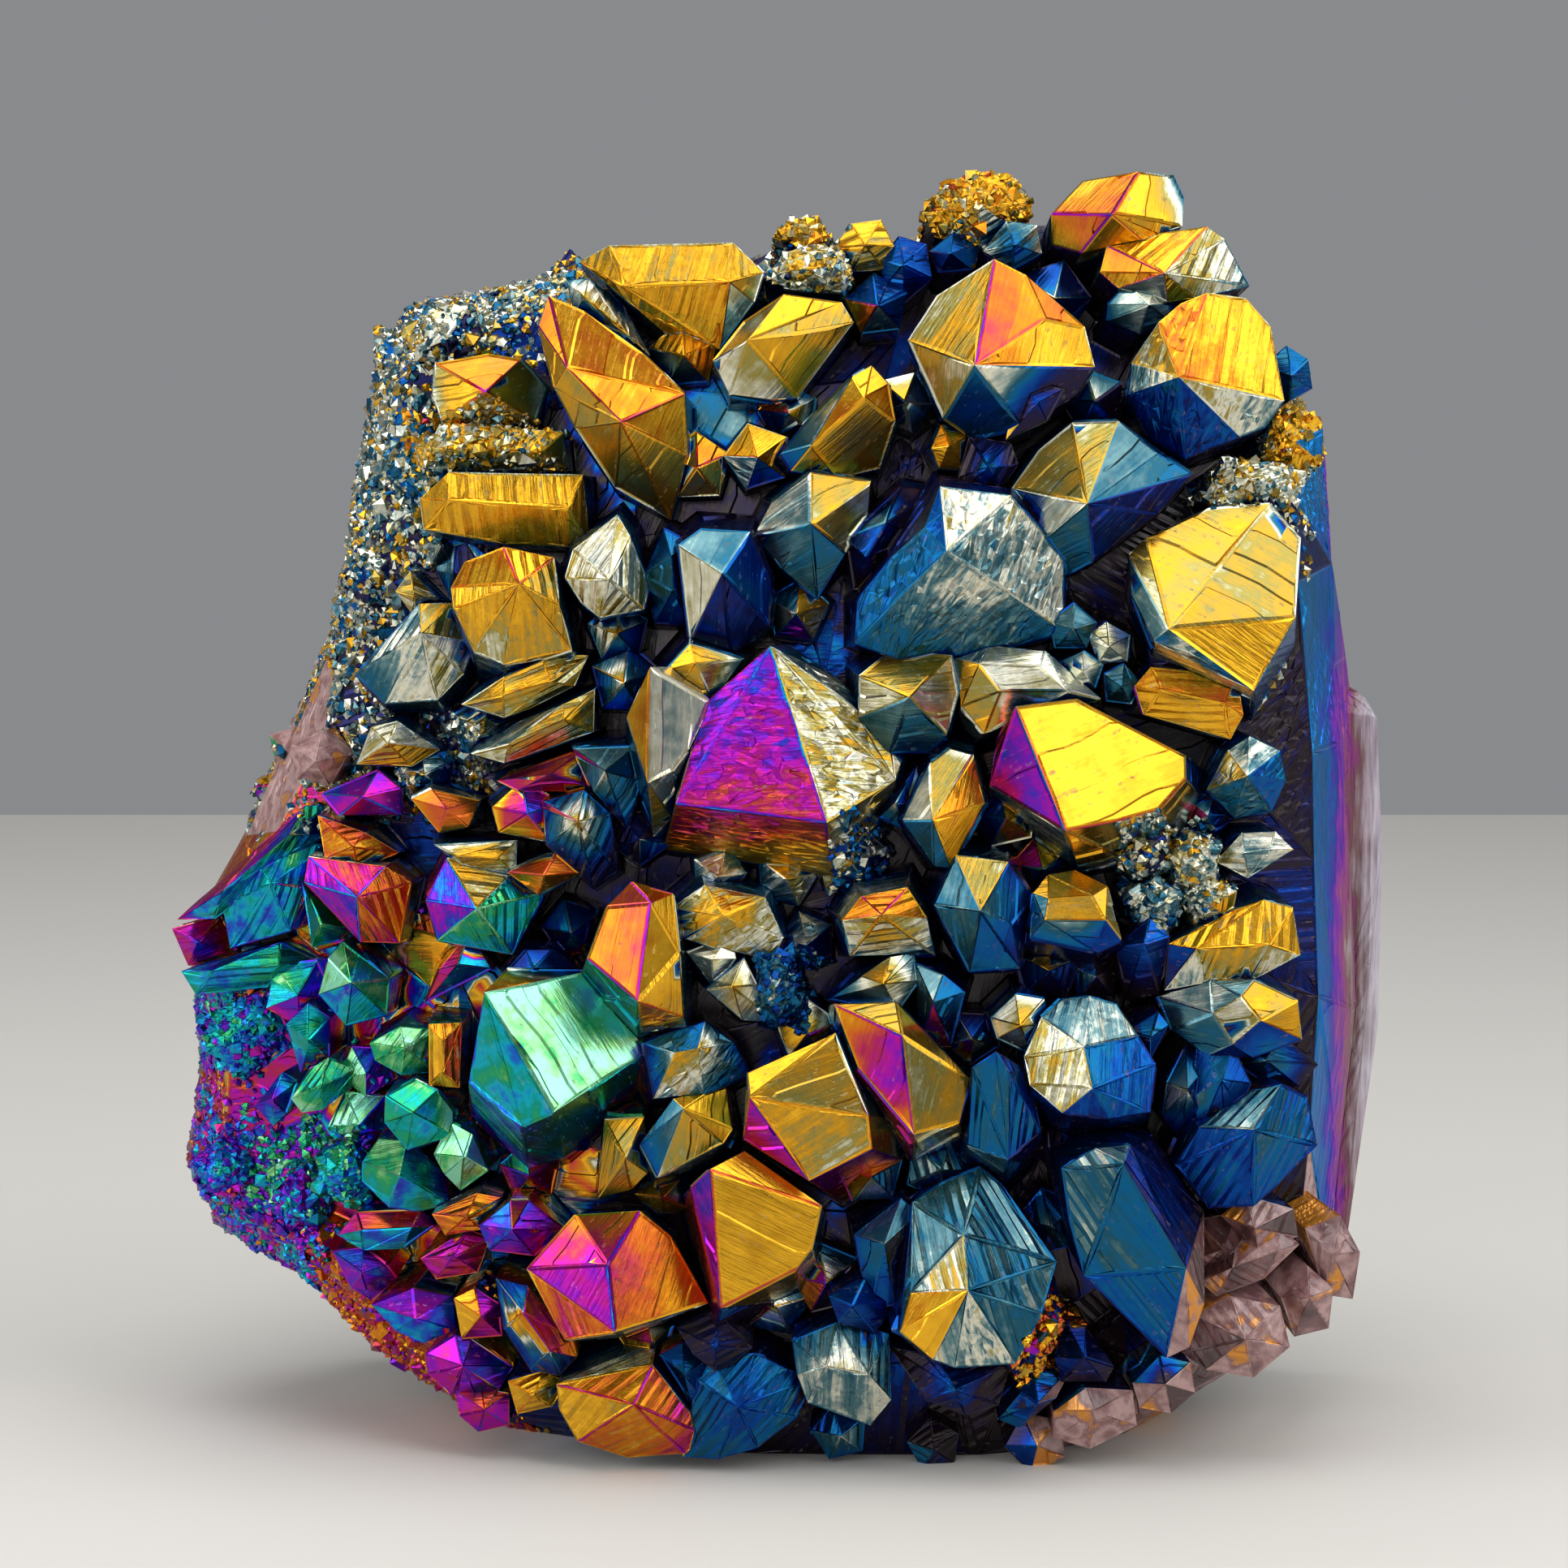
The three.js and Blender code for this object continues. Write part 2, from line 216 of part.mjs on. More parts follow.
const lowerMiddle = [
  ['gold crackle', [[-7.2, 32.6], [-5.5, 32.9]], [[-9.7, 33.1], [-7.5, 34], [-5, 34.7], [-2.8, 33],
    [-1.5, 30.3], [-5, 29.1], [-8.9, 28.8]], { slope: 0.6, lean: [0.1, 0.2] }],
  ['gold fist', [[-6.6, 28.2]], [[-7.4, 28.8], [-3.4, 29.6], [-2.9, 26.4], [-3.6, 25.4], [-8.6, 22.8],
    [-9.9, 25.3]], { slope: 0.45, lean: [0, 0.4], lift: 0.5 }],
  ['mint point', [[-21.5, 37.3]], [[-20, 38.6, -3], [-13.3, 38.3, -4.6], [-9.9, 34.8, FLAT],
    [-9.6, 32, FLAT], [-16.3, 28.4, 1.5], [-18.7, 27.2, 0.6], [-22.9, 30, -2.4]],
    { lean: [-0.05, 0.5], lift: 2.2 }],
  ['violet wedge', [[-1.6, 29.2]], [[-1.8, 30.8, -1.5], [4.9, 33.6, -3], [7.4, 27.6, -0.8],
    [7.7, 25, FLAT], [2.9, 22.5, -1.4], [-2.1, 25.5, -2.4]], { lean: [-0.35, 0.3], lift: 2.5 }],
  ['purple blade', [[9.9, 33.9]], [[9.5, 36.1, -2], [4.8, 35.9, -2.6], [6.6, 31.2, -1.6],
    [10.8, 26.4, 0.4], [14.3, 26.9, FLAT], [15.3, 29.9, -2.6]], { lean: [0, 0.35], lift: 2.5 }],
  ['yellow table', [[-4.6, 23.6]], [[-2, 24.6, -2], [3.9, 20.4, -1.8], [3.2, 17.2, FLAT],
    [2, 15.7, FLAT], [-3.8, 13, 0.4], [-6.1, 21.8, -2]], { lean: [0.05, 0.5], lift: 3 }],
  ['plum point', [[-12.4, 16.4]], [[-18.7, 15.4, -3], [-15, 19.6, -3], [-10, 20.1, -2],
    [-7.7, 18.1, FLAT], [-4.8, 12.9, -2.2], [-11.8, 11.4, 1], [-15.7, 10.3, -1.2]],
    { lean: [0, 0.4], lift: 2.5 }],
  ['corner gem', [[8.6, 18]], [[6.3, 18.5], [9.9, 21.2], [11.2, 20], [10.3, 16.8, FLAT], [9.5, 12.7],
    [7.7, 12.2], [6.9, 15, FLAT]], { slope: 0.5 }],
  ['blue heel', [[6.2, 13.2]], [[4.4, 13.6], [7.2, 15], [9.8, 13], [8, 10.6], [5.1, 11.6]]],
  ['storm point', [[14.6, 18.6], [14.9, 14.6]], [[10.8, 20.6], [13, 22, FLAT], [16, 23.2],
    [17.7, 21.7, FLAT], [21.8, 16], [20.6, 12.3], [18.6, 8.6], [14, 8.4], [12.3, 9], [9.8, 11],
    [10.6, 14]], { slope: 0.45, lean: [0, 0.3], lift: 3 }],
  ['yellow flag', [[10.8, 11.6]], [[9.2, 10.9], [10.7, 14.1], [12.7, 12], [12.5, 9.2]],
    { slope: 0.4, lift: 2.5 }],
  ['teal pillar', [[17, 32.6]], [[15.2, 31.3, -0.4], [18, 31, 0], [19.7, 30.6, -2], [20.6, 26, -2.4],
    [18, 24.2, -0.4], [14.9, 25.1, -1.6]], { lean: [0, 0.5], lift: 2 }],
  ['gold bud', [[18.8, 34.6]], [[16.6, 35], [18.5, 36.8], [20.7, 36.4], [21.4, 34.5], [19.7, 32.1],
    [17.1, 33.4]], { slope: 0.6 }],
  ['striped drum', [[23.6, 33], [24.2, 30]], [[19.2, 32], [20.5, 34.9], [22, 36.2, FLAT],
    [24.2, 36.5], [26.3, 35.8, FLAT], [27.9, 33.5], [29.2, 31.4], [28.7, 27.9], [25.5, 27.6],
    [22, 28], [19.6, 29.9]], { slope: 0.45, lean: [0, 0.3], lift: 2 }],
  ['long blue blade', [[26.6, 24.2], [31.4, 16.2]], [[22, 23.6, -1.4], [24.5, 25.2, -1],
    [27.2, 25.5, -1], [29.2, 25.4, -5], [33.2, 19.5, -5], [33, 13, -2], [31.9, 9.6, -2.2],
    [30.2, 8.7, -2.4], [23.8, 15.2, -1.8], [22.6, 19.6, FLAT]], { lift: 2.5 }],
  ['white tooth', [[31.4, 29.8]], [[29.9, 30.2], [31.5, 33.1], [32.7, 31], [32.8, 27.4], [31.2, 25.3],
    [29.7, 27.4]]],
  ['blue anvil', [[36.4, 26.9]], [[32.4, 26.7, -2], [36, 29.4, FLAT], [38.6, 30, -2],
    [40.8, 28.8, FLAT], [41.6, 25, -3.6], [38.3, 22, FLAT], [36.6, 20.7, -1.6],
    [33.3, 20.2, FLAT], [30.7, 23.6, -3.2]], { lift: 2 }],
  ['blue barrel', [[34, 30.5]], [[32.3, 33], [35, 32.9], [36.4, 30], [35.6, 27.6], [34.5, 26.3],
    [32.5, 25.8], [32.1, 29]], { slope: 0.5, lift: 1 }],
  ['edge gem', [[37.3, 32]], [[35, 33.4], [38.6, 33.6], [41.6, 31.2], [40, 29.6], [37.6, 29.8],
    [35.3, 31.4]]],
];

const foot = [
  ['blue rubble', [[-2.5, 5.5]], [[-6.8, 0.8], [-5.7, 7.3], [-4.5, 8.9], [-1.2, 9.2], [1.2, 7.9],
    [3.2, 7], [2, 4.1], [-1, 1.8], [-4, 0.8]], { slope: 0.5 }],
  ['grey drum', [[4.2, 8.4], [7.4, 7.8]], [[1.6, 10.1], [5, 11.5], [9, 10.6], [9.2, 5.5],
    [7.6, 3.3], [2.8, 5.2], [2, 7.5]], { slope: 0.45 }],
  ['steel leaf', [[-4.2, 10]], [[-7.2, 11], [-5, 12.3, FLAT], [-3.9, 12.1], [-1.4, 9.5],
    [-3, 8.1, FLAT], [-4.3, 7.8], [-5.9, 9.1]], { lift: 0.5 }],
  ['gold toe', [[-10.4, 5.8]], [[-16.4, 6.6], [-11.4, 7.8, FLAT], [-9, 8.5], [-6.4, 5, FLAT],
    [-5, 2.6], [-6.5, 1.2], [-11, 0.7, FLAT], [-14.8, 2.2], [-16.2, 4.6, FLAT]],
    { slope: 0.5, lift: 1 }],
  ['blue splint', [[-6.6, 7.8]], [[-8.5, 9], [-6.7, 10], [-5.1, 8.8], [-4.9, 5], [-6.1, 5.1]]],
  ['dark grape', [[23.8, 9.2]], [[21.6, 9], [22.5, 11.5], [24, 11.2], [26.2, 8], [25.6, 6.8],
    [22.2, 6.8]]],
  ['blue sole', [[20.3, 5.6]], [[17.4, 3.8], [19, 6.2], [20, 7.6], [23, 7.8], [21.7, 5.8],
    [19, 3.2]]],
  ['teal keel', [[14, 6.8]], [[9, 9.4], [12.5, 8.8], [18.4, 8.2], [17.4, 5], [14.8, 4.4],
    [11.8, 5.6]], { slope: 0.6 }],
  ['rusty splinter', [[20.6, 11]], [[18, 8], [20, 13.2], [21.7, 14.8], [22.2, 12], [20.4, 7.4],
    [19, 6.8]]],
  ['mauve lump', [[24.6, 5]], [[21.6, 4.6], [24, 6.6], [27.6, 6.2], [28, 3.4], [24.4, 1.6],
    [21.6, 2.4]], { slope: 0.5 }],
  ['pale rubble', [[30, 7]], [[27.6, 6.8], [29.6, 9], [32, 8.4], [32.4, 6], [30.6, 4.4], [28.2, 4.8]],
    { slope: 0.5 }],
  ['raw ledge', [[35, 16], [38.5, 17.3]], [[32.7, 14.6], [36, 17.4], [38.5, 18.6], [40.2, 17.6],
    [37.6, 14.8], [34, 13.4]], { slope: 0.6 }],
  ['raw lump', [[36.6, 19.2]], [[34.2, 19.8], [36, 21.4], [39.8, 20.2], [40.2, 18], [37, 17.2]]],
  ['raw pyramid', [[40.8, 13.8]], [[38.8, 13.5], [40.8, 16], [42.8, 14.2], [42.6, 10.9], [40, 10.2]]],
  ['raw hump', [[36, 10.6]], [[32.4, 12], [35, 13.6], [38.8, 12.8], [39.6, 9.6], [36.8, 7.2],
    [33.2, 7.8], [31.4, 9]], { slope: 0.5 }],
  ['pale corner', [[42.6, 17]], [[40.6, 18.8], [43.3, 19.8], [44.8, 17], [44.4, 13.2], [42.2, 13.6]],
    { slope: 0.4 }],
];

const lowerLeft = [
  ['cyan fan', [[-37.5, 45.5]], [[-41.4, 43.5], [-39, 47.4], [-36, 48.9], [-33.4, 48], [-34.9, 45],
    [-36.3, 41.6], [-41, 40.1]], { slope: 0.5 }],
  ['violet band', [[-41, 45], [-36, 49.2]], [[-45, 42.3], [-40, 46.7, FLAT], [-35, 51.2],
    [-33.3, 51.2], [-33.4, 49], [-38, 46.8], [-42, 42.6]], { slope: 0.8 }],
  ['teal comb', [[-43, 41]], [[-45.2, 41.8], [-41.5, 42.9], [-39.9, 39.3], [-44, 39]]],
  ['teal belt', [[-42, 38.8], [-37, 39.2]], [[-44.6, 38.5], [-37, 40.8], [-34.3, 39.2], [-38, 37.3],
    [-43.5, 36.7]]],
  ['violet dome', [[-30.6, 52]], [[-33.9, 52], [-29.5, 53.9], [-27.9, 52.5], [-27.8, 50.4],
    [-32.5, 50.4]], { slope: 0.6 }],
  ['gold delta', [[-31.3, 48.2]], [[-34.2, 50.3], [-30.5, 49.2], [-28.1, 47.5], [-31, 46.3],
    [-33.6, 47.1]]],
  ['lilac point', [[-31, 44.5]], [[-34.9, 47.2], [-29, 46.6], [-27.1, 45.3], [-28.1, 40.6],
    [-31, 40.8], [-35.2, 45.3]], { slope: 0.6, lift: 0.5 }],
  ['green delta', [[-33.8, 42.3]], [[-35.4, 45.2], [-30.8, 41.4], [-34.6, 40.4]]],
  ['lime point', [[-31.5, 38]], [[-33.4, 39.6], [-32.3, 40.8], [-28.8, 38], [-29.1, 35.1],
    [-32.2, 34.3], [-34.2, 36.8]], { lift: 0.5 }],
  ['teal oval', [[-34.9, 33.6]], [[-36.7, 34.5], [-35, 36.1], [-33.4, 35.1], [-33.4, 31.8],
    [-35.7, 30.7]]],
  ['rough teal', [[-41, 33.5], [-39, 35.5]], [[-43.2, 35], [-38, 37.4], [-36.8, 34.4], [-40, 30],
    [-42.8, 32.6]], { slope: 0.5 }],
  ['lime fan', [[-27.6, 32.9]], [[-30.4, 33], [-28, 34.4], [-25.4, 34.1], [-25.4, 30.7], [-28, 30.6],
    [-30, 31.7]], { slope: 0.6 }],
  ['gold rods', [[-24.8, 33.4], [-24.8, 31]], [[-25.9, 29.8], [-25.9, 34.5], [-23.4, 34.6],
    [-23.6, 29.6]], { slope: 0.6 }],
  ['cyan dome', [[-33.9, 30]], [[-36.4, 28.8], [-35, 31, FLAT], [-33.5, 32], [-31.6, 31.1],
    [-31.6, 29.7, FLAT], [-34, 28], [-35.6, 27.7]], { slope: 0.6 }],
  ['blue arrow', [[-37.6, 28.9]], [[-39.1, 28.2], [-37, 30.8], [-35.9, 30], [-36.7, 27.7],
    [-37.8, 26.6]]],
  ['green boss', [[-27, 28]], [[-29.2, 29.1], [-27, 30.2, FLAT], [-25.2, 29.5], [-24.1, 27.8, FLAT],
    [-24.1, 25.9], [-25.8, 25.4, FLAT], [-27.6, 24.8], [-29.3, 27]], { slope: 0.55, lift: 1 }],
  ['mint chip', [[-23.2, 24.6]], [[-25.6, 24.5], [-24.4, 27], [-22.7, 26.2], [-21.5, 23.2],
    [-23.6, 21.6], [-24.8, 23]]],
  ['teal dome', [[-28, 23.3]], [[-31, 24], [-29.8, 25.7, FLAT], [-27.5, 25.8], [-24.9, 22.6, FLAT],
    [-24.4, 20.5], [-27, 20, FLAT], [-29, 20.5], [-31.1, 22.4, FLAT]], { slope: 0.6, lift: 0.5 }],
  ['teal fin', [[-32.3, 23]], [[-34.2, 24.6], [-32, 25.6], [-30.5, 23], [-30, 19.8], [-32, 20.3],
    [-34.4, 22]]],
  ['cyan bar', [[-31, 18.9], [-27.2, 19.1]], [[-33, 18.2], [-31.5, 20.1], [-26.5, 20.4],
    [-25.6, 19], [-28, 17.2], [-31, 17.1]]],
  ['violet knot', [[-31, 15.7]], [[-33.4, 16.9], [-31, 17.4], [-29.3, 16], [-28.6, 14.8],
    [-30.5, 13.1], [-32, 14.3]]],
  ['blue plate', [[-27, 12]], [[-30.5, 12.8], [-27.3, 14.2], [-24.2, 13.5], [-24, 10.9],
    [-26.5, 9.9], [-28.6, 10.9]], { slope: 0.4 }],
  ['brown dome', [[-19.6, 19]], [[-22.2, 19], [-19.8, 21], [-18.4, 21], [-15.6, 18.5], [-18, 16.6],
    [-21.4, 17.1]], { slope: 0.6 }],
  ['orange rib', [[-23, 20]], [[-25.8, 19.8], [-22.3, 21.6], [-20.4, 21.1], [-22, 18.8],
    [-24.8, 18.2]]],
  ['magenta rib', [[-24, 17]], [[-26.7, 16.4], [-23, 18.8], [-21.3, 18], [-22.3, 15.4],
    [-25.5, 14.8]]],
  ['pink flute', [[-18.8, 12.6], [-16.8, 9.6]], [[-21, 14.8], [-18.5, 14.4], [-15, 10.3],
    [-14.8, 8.8], [-16.2, 7.3], [-18.4, 7.8], [-20.4, 11]], { lift: 0.5 }],
  ['magenta fin', [[-22, 12.3]], [[-24.2, 13.3], [-22.5, 14.2], [-20.7, 13.1], [-20.5, 10.4],
    [-23.6, 10.1]]],
  ['violet block', [[-23.4, 8.5]], [[-26.4, 9], [-24, 10.6], [-22.8, 10.4], [-19.7, 7.9],
    [-20.8, 6.1], [-24.5, 5.8], [-26.2, 7.5]], { slope: 0.6 }],
  ['pink box', [[-21.8, 4.9]], [[-24.2, 6.1], [-20, 6], [-20, 3.5], [-22.3, 3], [-23.8, 4.3]],
    { slope: 0.5 }],
  ['gold chip', [[-18, 6.2]], [[-20.1, 6.9], [-17.3, 7.8], [-15.6, 6.8], [-16.7, 5], [-19.4, 4.3]]],
  ['gold knuckle', [[-11, 24.6]], [[-12.6, 27.2], [-9.6, 27.4], [-9.3, 23.2], [-10.6, 21.8],
    [-13.2, 21]], { slope: 0.6 }],
  ['cyan lump', [[-41.8, 23.2]], [[-44, 24], [-42, 25.4], [-40, 23.6], [-40.6, 21.4], [-43, 21.2]],
    { slope: 0.6 }],
];

// The block's edge as seen from the front, counter-clockwise from the top left.
const blockEdge = [
  [-13, 91.5], [-20, 90.3], [-27.5, 88.3], [-29.8, 84.6], [-30.6, 79], [-31.8, 72], [-33.2, 64.5],
  [-36.2, 57], [-40, 49], [-43.5, 43], [-44.8, 38], [-44.2, 30], [-44.8, 22.5], [-42.5, 18],
  [-36, 14.5], [-31, 9.5], [-24, 5], [-16, 1.5], [-8, -1.5], [4, -3], [16, -2.5], [24, -0.5], [31, 4.5],
  [38.5, 9.5], [43, 14], [43.8, 24], [44.2, 36], [44, 47], [43.8, 56], [43.2, 62], [42.6, 70],
  [41.4, 77], [39.3, 82.5], [36.5, 87.5], [31, 92.8], [24, 94.4], [15, 94], [6, 92.2], [-3, 91.6],
];
const BLOCK_CENTRE = { x: 2, z: 48 };

// The rings of the block from front to back: share of the way out to the edge, how far past the crystal
// face in Y, and how rough.
const frontRings = [
  { share: 0.3, past: 0, rough: 0 },
  { share: 0.55, past: 0, rough: 0 },
  { share: 0.78, past: 0, rough: 0.3 },
  { share: 0.93, past: 0.5, rough: 0.3 },
  { share: 0.985, past: 6, rough: 0.4 },
  { share: 1, past: 14, rough: 0.5 },
];
const backRings = [
  { share: 0.975, y: 14, rough: 0.7 },
  { share: 0.86, y: 19.5, rough: 1.2 },
  { share: 0.5, y: 21, rough: 0.8 },
];

// The pale slab of matrix that shows past the block's right edge: outline in X and Z, and its depth.
const slabOutline = [
  [30, 12], [40, 8.5], [45.6, 12], [47, 22], [48.3, 32], [48.3, 46], [47.8, 56.5], [46.4, 58.5],
  [34, 59],
];
const SLAB_FRONT_Y = 2;
const SLAB_BACK_Y = 19;

function mulberry(seed) {
  let state = seed;
  return () => {
    state = (state + 0x6d2b79f5) | 0;
    let t = Math.imul(state ^ (state >>> 15), 1 | state);
    t = (t + Math.imul(t ^ (t >>> 7), 61 | t)) ^ t;
    return ((t ^ (t >>> 14)) >>> 0) / 4294967296;
  };
}

const random = mulberry(SEED);
const between = (low, high) => low + (high - low) * random();

// The Y of the crystal face at a place seen from the front.
function faceY(x, z) {
  const fallen = ({ reach, fall, curve }, distance) => fall * (distance / reach) ** curve;
  const sideways = x < FULLEST.x ? fallen(LEFT, FULLEST.x - x) : fallen(RIGHT, x - FULLEST.x);
  const upright = z > FULLEST.z ? fallen(TOP, z - FULLEST.z) : fallen(FOOT, FULLEST.z - z);
  return FACE_Y + sideways + upright;
}

// Moves a place measured on the sight plane to where it lies at another depth.
function sighted(x, z, y, scaleY = y) {
  const reach = (scaleY - EYE.y) / (SIGHT_PLANE - EYE.y);
  return new THREE.Vector3(EYE.x + (x - EYE.x) * reach, y, EYE.z + (z - EYE.z) * reach);
}

// Fine druse covers the upper left corner, from these places outward, and a strip along the left edge
// that is widest at its middle.
const UPPER_DRUSE = { x: [22, 27], z: [66, 72] };
const LEFT_DRUSE = { x: [34, 38], middleZ: 28, narrowing: 0.18 };

// 1 where the druse is fine, 0 among the large points.
function druseShare(x, z) {
  const { smoothstep } = THREE.MathUtils;
  const upperLeft = smoothstep(-x, ...UPPER_DRUSE.x) * smoothstep(z, ...UPPER_DRUSE.z);
  const narrowed = LEFT_DRUSE.narrowing * Math.abs(z - LEFT_DRUSE.middleZ);
  return Math.max(upperLeft, smoothstep(-x - narrowed, ...LEFT_DRUSE.x));
}

function toSolid(geometry) {
  geometry.deleteAttribute('normal');
  geometry.deleteAttribute('uv');
  const merged = mergeVertices(geometry, 1e-4);
  return new wasm.Manifold(new wasm.Mesh({
    numProp: 3,
    vertProperties: Float32Array.from(merged.attributes.position.array),
    triVerts: Uint32Array.from(merged.index.array),
  }));
}

function toGeometry(solid) {
  const { vertProperties, triVerts } = solid.getMesh();
  const geometry = new THREE.BufferGeometry();
  geometry.setAttribute('position', new THREE.BufferAttribute(vertProperties, 3));
  geometry.setIndex(new THREE.BufferAttribute(triVerts, 1));
  return geometry;
}

const hull = (points) => toSolid(new ConvexGeometry(points));

// Parts faces that only just touch: each of two corners at one place moves a little toward its own faces.
function partTouching(geometry) {
  const { position } = geometry.attributes;
  const corners = geometry.index.array;
  const at = (i) => new THREE.Vector3().fromBufferAttribute(position, i);
  const everyCorner = Array.from({ length: position.count }, (_, i) => i);
  const places = Map.groupBy(everyCorner, (i) => at(i).toArray().join());
  const touching = new Set([...places.values()].filter((group) => group.length > 1).flat());
  const pulls = new Map([...touching].map((i) => [i, new THREE.Vector3()]));
  for (let i = 0; i < corners.length; i += 3) {
    const triangle = [...corners.slice(i, i + 3)];
    triangle.filter((corner) => touching.has(corner)).forEach((corner) => {
      triangle.forEach((other) => pulls.get(corner).add(at(other).sub(at(corner))));
    });
  }
  pulls.forEach((pull, i) => {
    const { x, y, z } = at(i).add(pull.setLength(TOUCHING_GAP));
    position.setXYZ(i, x, y, z);
  });
}

// Fills in how far a flat corner stands out, from the plane through the tip and its two neighbours.
function settleFlat(corners, tip) {
  const count = corners.length;
  corners.forEach((corner, index) => {
    if (corner.out !== FLAT) return;
    let before = index;
    let after = index;
    while (corners[before].out === FLAT) before = (before + count - 1) % count;
    while (corners[after].out === FLAT) after = (after + 1) % count;
    const points = [tip, corners[before], corners[after]].map((p) => new THREE.Vector3(p.x, p.z, p.out));
    const { normal, constant } = new THREE.Plane().setFromCoplanarPoints(...points);
    corner.settled = -(constant + normal.x * corner.x + normal.y * corner.z) / normal.z;
  });
  corners.forEach((corner) => {
    if (corner.out === FLAT) corner.out = corner.settled;
  });
}

// One point: a pyramid from its tips down to its rim, flanks from there to below the gaps round it, and a
// taper from there to a root in the block.
function crystal([, tips, rim, extras = {}]) {
  const { slope = 0.7, lean = [0, 0], lift = 0 } = extras;
  const [[tipX, tipZ]] = tips;
  const fall = (x, z) => slope * Math.min(...tips.map(([tx, tz]) => Math.hypot(x - tx, z - tz)));
  const leaning = (x, z) => lean[0] * (x - tipX) + lean[1] * (z - tipZ);
  const corners = rim.map(([x, z, out = -fall(x, z) - leaning(x, z)]) => ({ x, z, out }));
  settleFlat(corners, { x: tipX, z: tipZ, out: 0 });
  const mean = { x: 0, z: 0, out: 0 };
  corners.forEach((corner) => {
    mean.x += corner.x / corners.length;
    mean.z += corner.z / corners.length;
    mean.out += corner.out / corners.length;
  });
  const rimY = faceY(mean.x, mean.z) - lift;
  const place = (x, z, out) => sighted(x, z, rimY - (out - mean.out), rimY);
  const points = tips.map(([x, z]) => place(x, z, -leaning(x, z)));
  corners.forEach(({ x, z, out }) => points.push(place(x, z, out)));
  const offCentre = Math.hypot(mean.x - BLOCK_CENTRE.x, mean.z - BLOCK_CENTRE.z) / INWARD_REACH;
  const toEdge = Math.min(1, offCentre) ** 3;
  const depth = ROOT_Y - rimY;
  const behind = (x, z, back) => {
    const inward = (INWARD * toEdge * back) / depth;
    return [
      x + inward * (BLOCK_CENTRE.x - mean.x) - lean[0] * back,
      z + inward * (BLOCK_CENTRE.z - mean.z) - lean[1] * back,
    ];
  };
  const back = Math.max(FLANK_PAST, CREVICE + lift + FLANK_PAST);
  const widening = back * THREE.MathUtils.lerp(FLARE, EDGE_FLARE, toEdge);
  corners.forEach(({ x, z, out }) => {
    const [dx, dz] = [x - mean.x, z - mean.z];
    const wider = widening / Math.hypot(dx, dz);
    points.push(place(...behind(x + dx * wider, z + dz * wider, back), out - back));
  });
  const [rootX, rootZ] = behind(mean.x, mean.z, depth);
  points.push(new THREE.Vector3(rootX, ROOT_Y, rootZ));
  return hull(points);
}

// The block as rings of corners from the middle of the crystal face to the middle of the back.
function blockRings() {
  const spot = (share, [x, z]) => [
    BLOCK_CENTRE.x + share * (x - BLOCK_CENTRE.x),
    BLOCK_CENTRE.z + share * (z - BLOCK_CENTRE.z),
  ];
  const nudge = (rough) => new THREE.Vector3(
    between(-rough, rough),
    between(-rough, rough),
    between(-rough, rough),
  );
  const front = frontRings.map(({ share, past, rough }) => blockEdge.map((corner) => {
    const [x, z] = spot(share, corner);
    const depth = THREE.MathUtils.lerp(CREVICE, DRUSE_DEPTH, druseShare(x, z));
    const y = Math.min(faceY(x, z) + depth + past, FRONT_LIMIT_Y);
    return sighted(x, z, y, Math.min(y, WIDEST_Y)).add(nudge(rough));
  }));
  const back = backRings.map(({ share, y, rough }) => blockEdge.map((corner) => {
    const [x, z] = spot(share, corner);
    return sighted(x, z, y, WIDEST_Y).add(nudge(rough));
  }));
  return [...front, ...back];
}

function block() {
  const rings = blockRings();
  const count = blockEdge.length;
  const points = rings.flat();
  const faces = [];
  for (let ring = 0; ring < rings.length - 1; ring += 1) {
    for (let i = 0; i < count; i += 1) {
      const next = (i + 1) % count;
      const [a, b] = [ring * count + i, ring * count + next];
      faces.push(a, a + count, b, b, a + count, b + count);
    }
  }
  const { x, z } = BLOCK_CENTRE;
  const frontMiddle = points.push(sighted(x, z, faceY(x, z) + CREVICE)) - 1;
  const backMiddle = points.push(sighted(x, z, BACK_Y, WIDEST_Y)) - 1;
  const lastRing = (rings.length - 1) * count;
  for (let i = 0; i < count; i += 1) {
    const next = (i + 1) % count;
    faces.push(frontMiddle, i, next);
    faces.push(backMiddle, lastRing + next, lastRing + i);
  }
  const geometry = new THREE.BufferGeometry().setFromPoints(points);
  geometry.setIndex(faces);
  return geometry;
}

const SLAB_ROUGHNESS = 1.2;

function slab() {
  const rough = (share = 1) => between(-share, share) * SLAB_ROUGHNESS;
  const points = slabOutline.flatMap(([x, z]) => [
    new THREE.Vector3(x - 0.4, SLAB_FRONT_Y + rough(), z),
    new THREE.Vector3(x + rough(0.2), (SLAB_FRONT_Y + SLAB_BACK_Y) / 2 + rough(2), z + rough(0.4)),
    new THREE.Vector3(x - 2 + rough(), SLAB_BACK_Y + rough(), z + rough()),
  ]);
  return hull(points);
}

// Small points stand on the block: druse round the left and upper edges.
const SPRIG_COUNT = 26;
const SPRIG_ROOT = 6;
const SPRIG_RADIUS = [1.4, 2.4];
const SPRIG_HEIGHT = [0.55, 0.9]; // as a share of the radius
const SPRIG_TURN = 0.4; // how far one turns away from square to the block
const WALL_X = 37; // the layered right edge has none past here
const SPRIG_BACK_Y = 6; // and the back has none behind here

